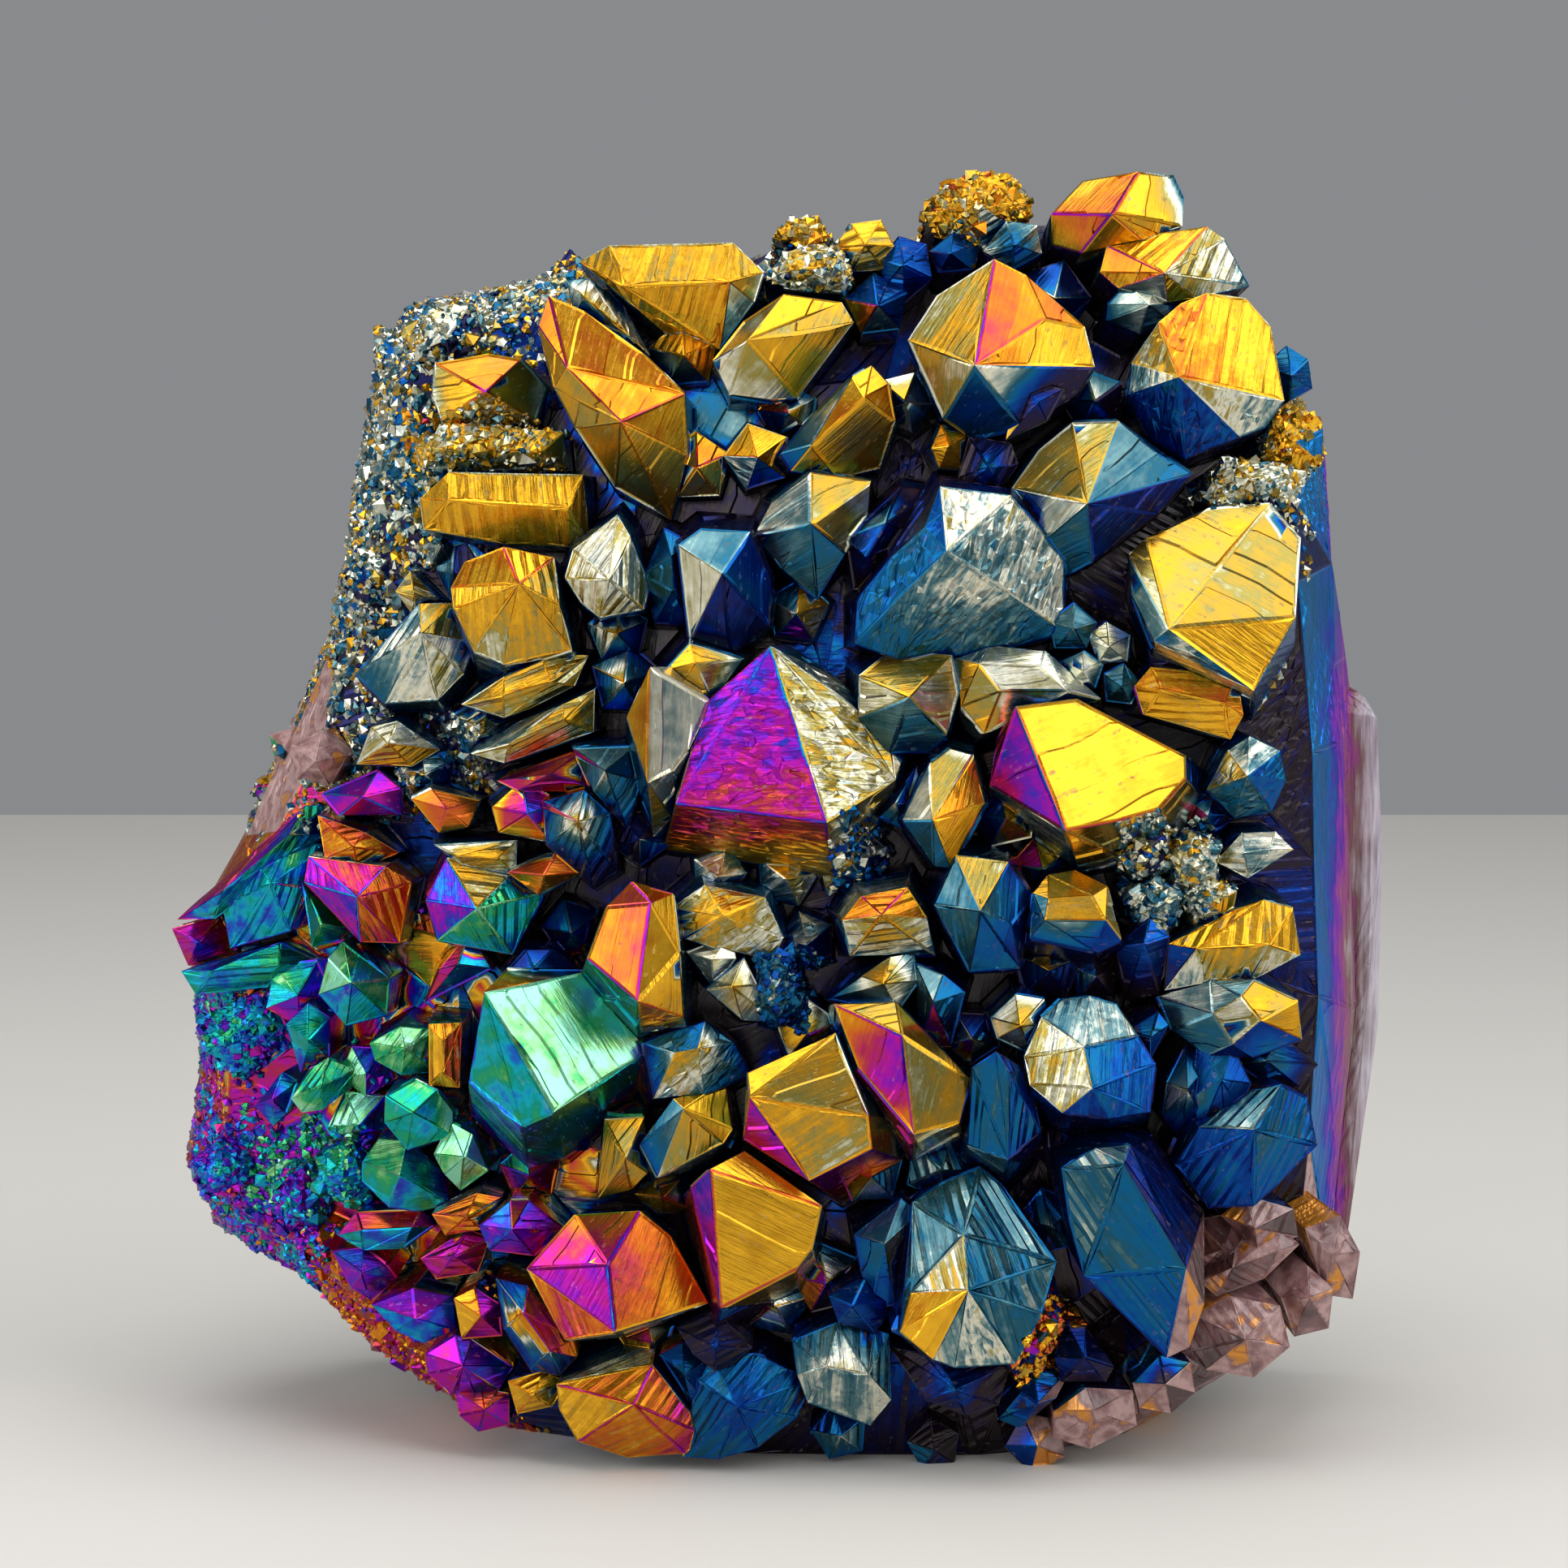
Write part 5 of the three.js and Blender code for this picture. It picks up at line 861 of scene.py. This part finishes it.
def film_at_corners(places, corner, which, joined, open_share, info):
    """The film at each corner of each triangle, in steps of the film's colours, with painted shade
    in gaps.
    """
    side = np.repeat(joined.side, 3)
    outer = joined.outer[corner]
    seen_x, seen_z = seen_array(places)
    tip, rim, flank, crystal = (np.array([entry[key] for entry in info])[which]
                                for key in ("tip", "rim", "flank", "crystal"))
    middle_x, middle_z, size = (np.array(values)[crystal] for values in (
        [c.x for c in CRYSTALS] + [0.0], [c.z for c in CRYSTALS] + [0.0],
        [c.reach for c in CRYSTALS] + [1.0]))
    out = np.hypot(seen_x - middle_x, seen_z - middle_z) / size
    out = np.where(crystal < 0, LOOSE_FACET_OUT, np.clip(out * 1.15 - 0.1, 0, 1))
    film = tip + (rim - tip) * out
    # The film thins down the flanks: with the distance behind the crystal's point, and into gaps.
    # This thinning partly paints shade there, running to near black in the gaps.
    depth = places[:, 1]
    front = np.full(len(CRYSTALS) + 1, 1e9)
    np.minimum.at(front, crystal, depth)
    behind = np.where(crystal < 0, 0, depth - front[crystal])
    sunk = np.maximum(smooth(*SUNK, behind / size), FLANK_SHARE * flank)
    share = open_share[corner]
    unshaded = smooth(*GAP_OPENNESS, share)
    film = film * unshaded * (1 - np.where(film > FILM["crimson"], THICK_LOSS, LOSS) * sunk)
    # Banded faces are darkened in the gaps too, as painted shade.
    for number, entry in enumerate(info):
        if entry["bands"]:
            here = which == number
            film[here] = np.interp(seen_z[here], *zip(*entry["bands"])) * (0.3 + 0.7 * unshaded[here])
    shifts = np.zeros((len(info), max(len(entry["sides"]) for entry in info) + 1))
    for number, entry in enumerate(info):
        shifts[number, 1:len(entry["sides"]) + 1] = entry["sides"]
    film = film + shifts[which, side] * outer * np.clip(share * 1.6, 0, 1)
    return film + np.repeat(joined.tone, 3) * np.clip(share * 1.5, 0.2, 1)


def add_node(tree, kind, inputs=(), out=0, stops=(), **settings):
    """Adds a node and returns one of its outputs.

    inputs holds values or other nodes' outputs, in order or by name. stops holds the places and
    colours of a colour ramp.
    """
    made = tree.nodes.new("ShaderNode" + kind)
    for name, value in settings.items():
        setattr(made, name, value)
    for key, value in inputs.items() if isinstance(inputs, dict) else enumerate(inputs):
        if isinstance(value, bpy.types.NodeSocket):
            tree.links.new(value, made.inputs[key])
        else:
            made.inputs[key].default_value = value
    if stops:
        for place, _ in stops[1:-1]:
            made.color_ramp.elements.new(place)
        for stop, (place, tint) in zip(made.color_ramp.elements, stops):
            stop.position, stop.color = place, (*tint, 1)
    return made.outputs[out] if made.outputs else made


def new_material(name):
    """An empty material, and the function that adds nodes to it."""
    material = bpy.data.materials.new(name)
    material.use_nodes = True
    material.node_tree.nodes.clear()
    return material, partial(add_node, material.node_tree)


def in_millimetres(add):
    """Object coordinates counted in mm."""
    place = add("TexCoord", out="Object")
    return add("Mapping", {"Vector": place, "Scale": (1000, 1000, 1000)})


def tinted(colour, light):
    """A colour made lighter or darker."""
    return [value * light for value in colour]


def between(first, second):
    """The colour halfway between two."""
    return [0.5 * (a + b) for a, b in zip(first, second)]


def rock_colour(add, in_mm):
    """Weathered rock: brown-grey with pale spots, in patches of several mm and grains of 1 mm."""
    stone = bpy.context.scene.druzy_stone
    broad = add("TexNoise", {"Vector": in_mm, "Scale": 0.16, "Detail": 8, "Roughness": 0.65})
    spots = add("TexVoronoi", {"Vector": in_mm, "Scale": 0.9}, out="Distance")
    base = add("ValToRGB", [broad], stops=[
        (0.3, tinted(stone.rock, 0.4)), (0.55, stone.rock), (0.72, stone.rind)])
    spot = add("MapRange", (spots, 0.12, 0.3, 0.5, 0))
    return add("Mix", {"Factor": spot, 6: base, 7: (*stone.rind, 1)}, out=2, data_type="RGBA")


def titanium_film():
    """Titanium vapour on quartz: mirror-like, coloured by its thickness, fading into bare rock."""
    material, add = new_material("titanium_film_on_quartz")
    settings = bpy.context.scene.druzy_film
    film, rough, coat = (add("Attribute", out="Fac", attribute_name=name)
                         for name in ("film", "rough", "coat"))
    in_mm = in_millimetres(add)
    # Growth lines are 0.1 to 0.4 mm apart and several mm long.
    growth = add("UVMap", uv_map="growth")
    stretched = add("Mapping", {"Vector": growth, "Scale": (0.25, 2.8, 1)})
    lines = add("TexNoise", {"Vector": stretched, "Scale": 1, "Detail": 3,
                             "Roughness": 0.6, "Distortion": 0.25})
    line_shift = add("MapRange", (lines, 0.3, 0.7, -1, 1))
    # Growth hillocks and pits are about 0.3 mm wide.
    cells = add("TexVoronoi", {"Vector": in_mm, "Scale": 3}, out="Color")
    cell_shift = add("MapRange", (add("SeparateColor", [cells]), 0, 1, -1, 1))
    line_share = add("Math", (rough, 0.8, 0.15), operation="MULTIPLY_ADD")
    value = add("Math", (line_shift, line_share, film), operation="MULTIPLY_ADD")
    cell_share = add("Math", (rough, 0.6), operation="MULTIPLY")
    value = add("Math", (cell_shift, cell_share, value), operation="MULTIPLY_ADD")
    # The thick film at the lower left changes colour every millimetre or two.
    clouds = add("TexNoise", {"Vector": in_mm, "Scale": 0.5, "Detail": 4})
    cloud_shift = add("MapRange", (clouds, 0.3, 0.7, -1, 1))
    cloud_share = add("MapRange", (film, 13, 18, 0.5, 1.8))
    value = add("Math", (cloud_shift, cloud_share, value), operation="MULTIPLY_ADD")
    share = add("Math", (value, float(THICKEST)), operation="DIVIDE")
    tint = add("ValToRGB", [share], stops=[
        (step / THICKEST, getattr(settings, name)) for step, name in enumerate(FILM_NAMES)])
    edge = add("Math", (line_shift, 0.25, coat), operation="MULTIPLY_ADD")
    edge = add("Math", (cell_shift, 0.3, edge), operation="MULTIPLY_ADD")
    edge = add("MapRange", (edge, 0.2, 0.7, 0, 1))
    mixed = add("Mix", {"Factor": edge, 6: rock_colour(add, in_mm), 7: tint}, out=2,
                data_type="RGBA")
    bump = add("Bump", {
        "Height": add("Math", (cell_shift, rough, line_shift), operation="MULTIPLY_ADD"),
        "Strength": add("Math", (rough, 0.5, 0.1), operation="MULTIPLY_ADD"),
        "Distance": 0.05 * MM})
    matt = add("Math", (rough, 0.15, 0.75), operation="MULTIPLY_ADD")
    gloss = add("Math", (edge, -0.55, matt), operation="MULTIPLY_ADD")
    metal = add("Math", (edge, add("MapRange", (film, 0, 3, 0.3, 0.95))), operation="MULTIPLY")
    add("OutputMaterial", [add("BsdfPrincipled", {
        "Base Color": mixed, "Metallic": metal, "Roughness": gloss, "Normal": bump})])
    return material


def rock_material():
    """Weathered geode rock: matt, brown-grey, with pale mineral spots."""
    material, add = new_material("geode_rock")
    in_mm = in_millimetres(add)
    # The rock's grains are about half a millimetre wide.
    grain = add("TexNoise", {"Vector": in_mm, "Scale": 1.8, "Detail": 6})
    bump = add("Bump", {"Height": grain, "Strength": 0.7, "Distance": 0.4 * MM})
    add("OutputMaterial", [add("BsdfPrincipled", {
        "Base Color": rock_colour(add, in_mm), "Roughness": 0.85, "Normal": bump})])
    return material


def raw_amethyst():
    """Amethyst with no film: mauve quartz, deep or thin by the face, darker as painted shade where
    closed in, with a sheen on a few.
    """
    material, add = new_material("raw_amethyst")
    stone = bpy.context.scene.druzy_stone
    in_mm = in_millimetres(add)
    facet = add("Attribute", out="Fac", attribute_name="film")
    # Clouds in the quartz are a few mm wide.
    broad = add("TexNoise", {"Vector": in_mm, "Scale": 0.45, "Detail": 6})
    cloud = add("MapRange", (broad, 0.3, 0.7, -0.3, 0.3))
    share = add("Math", (cloud, 1.0, add("Math", (facet, 3.0), operation="DIVIDE")),
                operation="MULTIPLY_ADD")
    tint = add("ValToRGB", [share], stops=[
        (0, stone.raw_dark), (0.35, stone.raw), (0.62, stone.raw_pale), (0.76, stone.raw),
        (0.88, stone.raw_glow)])
    # Fine streaks are 0.4 mm apart and lean over.
    leaning = add("Mapping", {"Vector": in_mm, "Scale": (2.5, 2.5, 0.5), "Rotation": (0, 0.9, 0)})
    fine = add("TexNoise", {"Vector": leaning, "Scale": 1, "Detail": 4})
    bump = add("Bump", {"Height": fine, "Strength": 0.5, "Distance": 0.15 * MM})
    add("OutputMaterial", [add("BsdfPrincipled", {
        "Base Color": tint, "Roughness": 0.2, "Normal": bump, "IOR": 1.544,
        "Coat Weight": 0.3, "Coat Roughness": 0.05,
        "Metallic": add("MapRange", (share, 0.8, 0.9, 0, 0.6))})])
    return material


def layered_wall():
    """The broken side of the crust: blue film, then violet and mauve, then a pale rind."""
    material, add = new_material("layered_geode_wall")
    stone, film = bpy.context.scene.druzy_stone, bpy.context.scene.druzy_film
    in_mm = in_millimetres(add)
    depth = add("SeparateXYZ", {"Vector": in_mm}, out="Y")
    layer = add("Attribute", out="Fac", attribute_name="film")
    # The layers waver by about a millimetre, and fine fibres run up them.
    waver = add("TexNoise", {"Vector": in_mm, "Scale": 0.25, "Detail": 6})
    upright = add("Mapping", {"Vector": in_mm, "Scale": (2.4, 2.4, 0.22)})
    fibres = add("TexNoise", {"Vector": upright, "Scale": 1, "Detail": 5})
    place = add("Math", (layer, add("MapRange", (waver, 0.3, 0.7, -0.06, 0.06))), operation="ADD")
    place = add("Math", (place, add("MapRange", (fibres, 0.3, 0.7, -0.05, 0.05))), operation="ADD")
    share = add("Math", (place, add("MapRange", (depth, 0, 9, 0.3, 1))), operation="MAXIMUM")
    tint = add("ValToRGB", [share], stops=[
        (0, film.sea), (0.2, between(film.azure, film.cyan)), (0.42, film.azure),
        (0.48, film.indigo), (0.53, film.purple), (0.6, between(film.magenta, stone.raw)),
        (0.66, stone.raw), (0.74, between(stone.raw, stone.rind)), (0.86, stone.rind),
        (1, tinted(stone.rind, 0.8))])
    shade = add("MapRange", (fibres, 0.3, 0.7, 0.7, 1.1))
    grey = add("CombineColor", (shade, shade, shade))
    tint = add("Mix", {"Factor": 1, 6: tint, 7: grey}, out=2, data_type="RGBA",
               blend_type="MULTIPLY")
    bump = add("Bump", {"Height": fibres, "Strength": 0.8, "Distance": 0.25 * MM})
    add("OutputMaterial", [add("BsdfPrincipled", {
        "Base Color": tint, "Normal": bump,
        "Metallic": add("MapRange", (share, 0.4, 0.65, 0.85, 0)),
        "Roughness": add("MapRange", (share, 0.3, 0.7, 0.3, 0.5))})])
    return material


def finish_of(name, make):
    """A material by name, made the first time that it is asked for."""
    return bpy.data.materials.get(name) or make()


def link_piece(name, mesh, materials):
    """Makes a mesh an object that rides on the stone's body."""
    piece = bpy.data.objects.new(name, mesh)
    for material in materials:
        mesh.materials.append(material)
    bpy.context.scene.collection.objects.link(piece)
    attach(piece, "root")
    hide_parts(NODE)


# The coat gives way to bare rock between these depths, in mm.
COAT_END = (1, 9)


def set_finish(mesh, places, film, rough, growth):
    """Gives a mesh its film, coat, roughness and growth coordinates.

    places holds each triangle's corners in mm.
    """
    coat = 1 - smooth(*COAT_END, places[:, 1])
    for name, domain, values in (("film", "CORNER", np.clip(film, 0, THICKEST)),
                                 ("coat", "CORNER", coat), ("rough", "FACE", rough)):
        layer = mesh.attributes.new(name, "FLOAT", domain)
        layer.data.foreach_set("value", values.astype(np.float32))
    mesh.uv_layers.new(name="growth").data.foreach_set("uv", growth.astype(np.float32).ravel())


# How rough each look of a face is. On the wall, the film number is instead the share of the way
# across it, from its start and over its width in mm, as seen from the front.
ROUGHNESS = {SMOOTH: 0.1, STRIPED: 0.4, STREAKED: 0.2, CRACKLED: 0.5, ROUGH: 0.8}
WALL_START_X, WALL_WIDTH = 38, 9
LEFT_RAW_TONE = 1.9
CLUSTER_SEED, RAW_SEED, DRUSE_SEED, GRAIN_SEED = 7, 3, 23, 5


class DRUZY_OT_crystals(bpy.types.Operator):
    """Finish the crystals: ridges, growth lines, broken patches and the film on them"""
    bl_idname = "druzy.crystals"
    bl_label = "Crystals"

    def execute(self, context):
        joined, info, tree = dress_stone(context.scene.druzy_sizes, random.Random(CLUSTER_SEED))
        mesh = bpy.data.meshes.new("coated_cluster")
        mesh.from_pydata(joined.points, [], joined.triangles)
        normals = np.zeros(len(joined.points) * 3, np.float32)
        mesh.vertices.foreach_get("normal", normals)
        open_share = openness(joined.points, normals.reshape(-1, 3), tree)
        corner = joined.triangles.ravel()
        which = np.repeat(joined.facet, 3)
        places = joined.points[corner] / MM
        zones = np.array([entry["zone"] for entry in info])
        zone = zones[which]
        film = film_at_corners(places, corner, which, joined, open_share, info)
        raw_tone = np.random.default_rng(RAW_SEED).uniform(0, 3, len(info))[which]
        raw_tone = np.where(places[:, 0] < 0, LEFT_RAW_TONE, raw_tone)
        # Raw amethyst darkens where the stone is closed in: painted shade.
        film = np.where(zone == RAW, raw_tone * np.clip(open_share[corner] * 2, 0.1, 1), film)
        across_wall = (seen_array(places)[0] - WALL_START_X) / WALL_WIDTH
        film = np.where((zone == WALL) | (zone == SLAB), across_wall, film)
        along = np.array([along_face(entry["normal"], entry["lines"]) for entry in info])
        across = np.cross(np.array([entry["normal"] for entry in info]), along)
        growth = np.stack([(places * way[which]).sum(axis=1) for way in (along, across)], 1)
        rough = np.array([ROUGHNESS[entry["look"]] for entry in info])[joined.facet]
        set_finish(mesh, places, film, rough, growth)
        link_piece("coated_cluster", mesh, [
            finish_of("titanium_film_on_quartz", titanium_film), rock_material(),
            layered_wall(), raw_amethyst()])
        slots = np.array([MATERIAL_OF_ZONE[zone] for zone in zones], np.int32)[joined.facet]
        mesh.polygons.foreach_set("material_index", slots)
        mesh.update()
        return {"FINISHED"}


# Where fine druse grows on the open stone: middle and half size as seen, in mm, grains per square
# mm, and the films that its grains are drawn from.
DRUSE_PATCHES = [
    (-30, 71, 10, 23, 5, "sea slate steel steel silver silver silver silver olive gold"),
    (-24, 88, 12, 5, 5, "sea slate steel silver silver silver olive gold"),
    (-20, 76, 8, 7, 1.5, "gold gold yellow silver olive"),
    (-6, 90, 12, 4, 1, "gold yellow silver"),
    (-45, 32, 4, 12, 5, "magenta crimson orange magenta purple"),
    (-42, 20, 9, 8, 5, "purple indigo indigo azure azure cyan magenta"),
    (-33, 13, 9, 7, 4.5, "amber orange crimson magenta amber"),
    (-33, 30, 9, 15, 2, "teal cyan azure indigo purple"),
    (-27, 9, 12, 8, 2.6, "amber orange crimson magenta magenta purple gold"),
    (8, 47, 4, 4, 3, "blue sea sea silver"),
    (31, 46, 5, 5, 3, "blue sea steel silver silver"),
    (37, 60, 4, 14, 1.5, "sea steel silver olive gold"),
    (38, 78, 5, 7, 1.6, "gold silver sea silver"),
    (39, 44, 3, 8, 2, "steel silver sea"),
    (0, 6, 7, 4, 1, "blue sea silver"),
]
DENSEST = 6
ROUGH_DENSITY = 4
GRAIN_SIDES = 5
GRAIN_LEAN = 0.3
GRAIN_ROUGHNESS = 0.25
UPRIGHT_STRETCH = 1.15
FRONT_END_Y, LOWER_FRONT_END_Y = -10.5, -5.5


def grain_shape():
    """Corners and triangles of one grain: a five-sided stub with a point, standing on its root.

    It is about 1 wide. Its corners and triangles are sorted, so that the random draws that bend
    and colour them don't depend on the order in which the operators make them.
    """
    grain = bmesh.new()
    upright = Matrix.Translation((0, 0, -0.145)) @ Matrix.Rotation(-math.pi / 2, 4, "Z")
    bmesh.ops.create_cone(grain, cap_ends=True, segments=GRAIN_SIDES, radius1=0.42, radius2=0.55,
                          depth=0.41, matrix=upright)
    top, = (face for face in grain.faces if len(face.verts) > 4 and face.normal.z > 0)
    root, = (face for face in grain.faces if len(face.verts) > 4 and face.normal.z < 0)
    tip, = bmesh.ops.poke(grain, faces=[top])["verts"]
    tip.co = (0.15, 0.08, 0.36)
    bmesh.ops.delete(grain, geom=[root], context="FACES_ONLY")
    bmesh.ops.triangulate(grain, faces=grain.faces[:], quad_method="ALTERNATE")

    def order(spot, level):
        return level, round(math.degrees(math.atan2(spot.y, spot.x))) % 360

    corners = sorted(grain.verts, key=lambda vert: order(
        vert.co, 2 if vert == tip else int(vert.co.z > 0)))
    faces = sorted(grain.faces, key=lambda face: order(
        face.calc_center_median(), sum(vert.co.z > 0 for vert in face.verts)))
    points = np.array([tuple(vert.co) for vert in corners])
    triangles = np.array([[corners.index(vert) for vert in face.verts] for face in faces])
    grain.free()
    return points, triangles


def grain_film(spot, about, draw):
    """The film of a grain at a place in mm, or nothing where no grain grows."""
    x, z = seen(spot)
    if about["look"] == ROUGH and about["crystal"] >= 0:
        grows = draw.random() < ROUGH_DENSITY / DENSEST
        return about["rim"] + draw.gauss(0, 1.2) if grows else None
    # No grains grow on the front faces of the large crystals.
    front_end = FRONT_END_Y if z > 50 else LOWER_FRONT_END_Y
    bare = about["crystal"] >= 0 and about["away"] < 1.02 and spot.y < front_end
    for middle_x, middle_z, half_x, half_z, density, films in DRUSE_PATCHES:
        edge = max(abs(x - middle_x) / half_x, abs(z - middle_z) / half_z)
        if edge < 1 and not bare:
            if draw.random() < density / DENSEST * (1 - smooth(0.75, 1, edge)):
                return FILM[draw.choice(films.split())] + draw.gauss(0, 0.4)
    return None


def grain_sites(sizes, draw):
    """Where each grain stands in the upper and the lower half: place, direction, size and film."""
    stone = facets()
    tree = BVHTree.FromBMesh(stone)
    sites = []
    for face in stone.faces:
        about = describe_facet(face, draw)
        if about["zone"] != COATED:
            continue
        first, *others = [vert.co for vert in face.verts]
        for second, third in zip(others, others[1:]):
            area = (second - first).cross(third - first).length / 2 / MM ** 2
            for _ in range(int(area * DENSEST + draw.random())):
                u, v = sorted((draw.random(), draw.random()))
                spot = first * u + second * (v - u) + third * (1 - v)
                film = grain_film(spot / MM, about, draw)
                if film is None:
                    continue
                size = sizes.grain * draw.lognormvariate(-0.1, 0.32)
                lean = Vector((draw.gauss(0, 1), draw.gauss(0, 1), draw.gauss(0, 1) + 0.2))
                way = (face.normal + lean * GRAIN_LEAN).normalized()
                sites.append((spot, way, size, film))
    stone.free()
    draw.shuffle(sites)
    upper = [site for site in sites if site[0].z > HALF_HEIGHT]
    lower = [site for site in sites if site[0].z <= HALF_HEIGHT]
    return upper[:sizes.grain_count], lower[:sizes.grain_count], tree


def grow_druse(name, sites, tree, draw):
    """Makes one piece of many grains."""
    shape, triangles = grain_shape()
    rng = np.random.default_rng(GRAIN_SEED)
    count, corners = len(sites), len(shape)
    spots, ways, sizes, films = zip(*sites)
    places = np.array([tuple(spot) for spot in spots])
    turns = np.array([way.to_track_quat("Z", "Y").to_matrix()
                      @ Matrix.Rotation(draw.uniform(0, 6), 3, "Z") for way in ways])
    bent = shape[None] * rng.uniform(0.7, 1.3, (count, corners, 3))
    bent = bent * rng.uniform(0.75, 1.3, (count, 1, 3))
    bent[:, :, 2] *= UPRIGHT_STRETCH
    points = np.einsum("nij,nkj->nki", turns, bent) * np.array(sizes)[:, None, None]
    points = (points + places[:, None]).reshape(-1, 3)
    share = openness(places, np.array([tuple(way) for way in ways]), tree)
    # Grains in the gaps get a thinner film, which paints them darker as shade.
    unshaded = 0.3 + 0.7 * smooth(0.03, 0.3, share)
    faces = (triangles[None] + (np.arange(count) * corners)[:, None, None]).reshape(-1, 3)
    mesh = bpy.data.meshes.new(name)
    mesh.from_pydata(points, [], faces)
    film = (np.array(films) * unshaded)[:, None] + rng.normal(0, 0.35, (count, len(triangles)))
    corner_places = points[faces.ravel()] / MM
    growth = corner_places @ rng.normal(0, 0.6, (3, 2))
    rough = np.full(len(faces), GRAIN_ROUGHNESS)
    set_finish(mesh, corner_places, np.repeat(film, 3, axis=1).ravel(), rough, growth)
    link_piece(name, mesh, [finish_of("titanium_film_on_quartz", titanium_film)])


class DRUZY_OT_druse(bpy.types.Operator):
    """Grow the fine druse: small grains on the rough crystals and along the edges"""
    bl_idname = "druzy.druse"
    bl_label = "Druse"

    def execute(self, context):
        draw = random.Random(DRUSE_SEED)
        upper, lower, tree = grain_sites(context.scene.druzy_sizes, draw)
        grow_druse("fine_druse_upper", upper, tree, draw)
        grow_druse("fine_druse_lower", lower, tree, draw)
        return {"FINISHED"}


# Soft studio lamps: name, place in mm, size in mm and power in watts.
LAMPS = [
    ("key", (360, -200, 340), 480, 1.9),
    ("top", (-40, -60, 520), 420, 1.8),
    ("left", (-420, -180, 180), 300, 0.9),
    ("front", (-160, -620, 300), 420, 1.2),
]
STUDIO_AIR = (0.25, 0.255, 0.265, 1)
HALF_FLOOR = 0.43


class DRUZY_OT_stage(bpy.types.Operator):
    """Set up the floor, the lights and the camera at the photo's angle"""
    bl_idname = "druzy.stage"
    bl_label = "Stage"

    def execute(self, context):
        scene = context.scene
        sheet = bmesh.new()
        bmesh.ops.create_grid(sheet, x_segments=1, y_segments=1, size=HALF_FLOOR)
        mesh = bpy.data.meshes.new("floor")
        sheet.to_mesh(mesh)
        sheet.free()
        floor = bpy.data.objects.new("floor", mesh)
        scene.collection.objects.link(floor)
        # Board with matt pale paint, so that it gives back only soft light.
        material, add = new_material("painted_board")
        add("OutputMaterial", [add("BsdfPrincipled", {
            "Base Color": (*scene.druzy_stone.floor, 1), "Roughness": 0.6})])
        mesh.materials.append(material)
        scene.view_settings.view_transform = "Standard"
        scene.world = bpy.data.worlds.new("studio")
        scene.world.use_nodes = True
        air = scene.world.node_tree.nodes["Background"]
        air.inputs["Color"].default_value = STUDIO_AIR
        for name, place, size, power in LAMPS:
            lamp = bpy.data.lights.new(name, "AREA")
            lamp.energy = power
            lamp.size = size * MM
            light = bpy.data.objects.new(name, lamp)
            light.location = Vector(place) * MM
            toward = Vector((0, 0, HALF_HEIGHT)) - light.location
            light.rotation_euler = toward.to_track_quat("-Z", "Y").to_euler()
            scene.collection.objects.link(light)
        lens = bpy.data.cameras.new("camera")
        lens.lens = 100
        lens.sensor_width = 36
        lens.clip_start = 0.01
        camera = bpy.data.objects.new("camera", lens)
        camera.location = (SEEN_FROM + RECENTRED) * MM
        aim = (AIM + RECENTRED) * MM
        camera.rotation_euler = (aim - camera.location).to_track_quat("-Z", "Y").to_euler()
        scene.collection.objects.link(camera)
        scene.camera = camera
        return {"FINISHED"}


OPERATORS = [DRUZY_OT_crystals, DRUZY_OT_druse, DRUZY_OT_stage]


class DRUZY_PT_panel(bpy.types.Panel):
    """Lists the steps that finish the stone"""
    bl_idname = "DRUZY_PT_panel"
    bl_label = "Aura amethyst druzy"
    bl_space_type = "VIEW_3D"
    bl_region_type = "UI"
    bl_category = "Druzy"

    def draw(self, context):
        for operator in OPERATORS:
            self.layout.operator(operator.bl_idname)
        for name in GROUPS:
            group = getattr(context.scene, name)
            for key in group.__annotations__:
                self.layout.prop(group, key)


GROUPS = {"druzy_sizes": DruzySizes, "druzy_stone": DruzyStone, "druzy_film": DruzyFilm}
CLASSES = [*GROUPS.values(), *OPERATORS, DRUZY_PT_panel]


def register():
    """Registers the classes and gives each scene its settings."""
    for cls in CLASSES:
        bpy.utils.register_class(cls)
    for name, group in GROUPS.items():
        setattr(bpy.types.Scene, name, PointerProperty(type=group))


def unregister():
    """Takes the settings and the classes away again."""
    for name in GROUPS:
        delattr(bpy.types.Scene, name)
    for cls in reversed(CLASSES):
        bpy.utils.unregister_class(cls)


def main():
    register()
    bpy.ops.druzy.crystals()
    bpy.ops.druzy.druse()
    bpy.ops.druzy.stage()


if __name__ == "__main__":
    main()
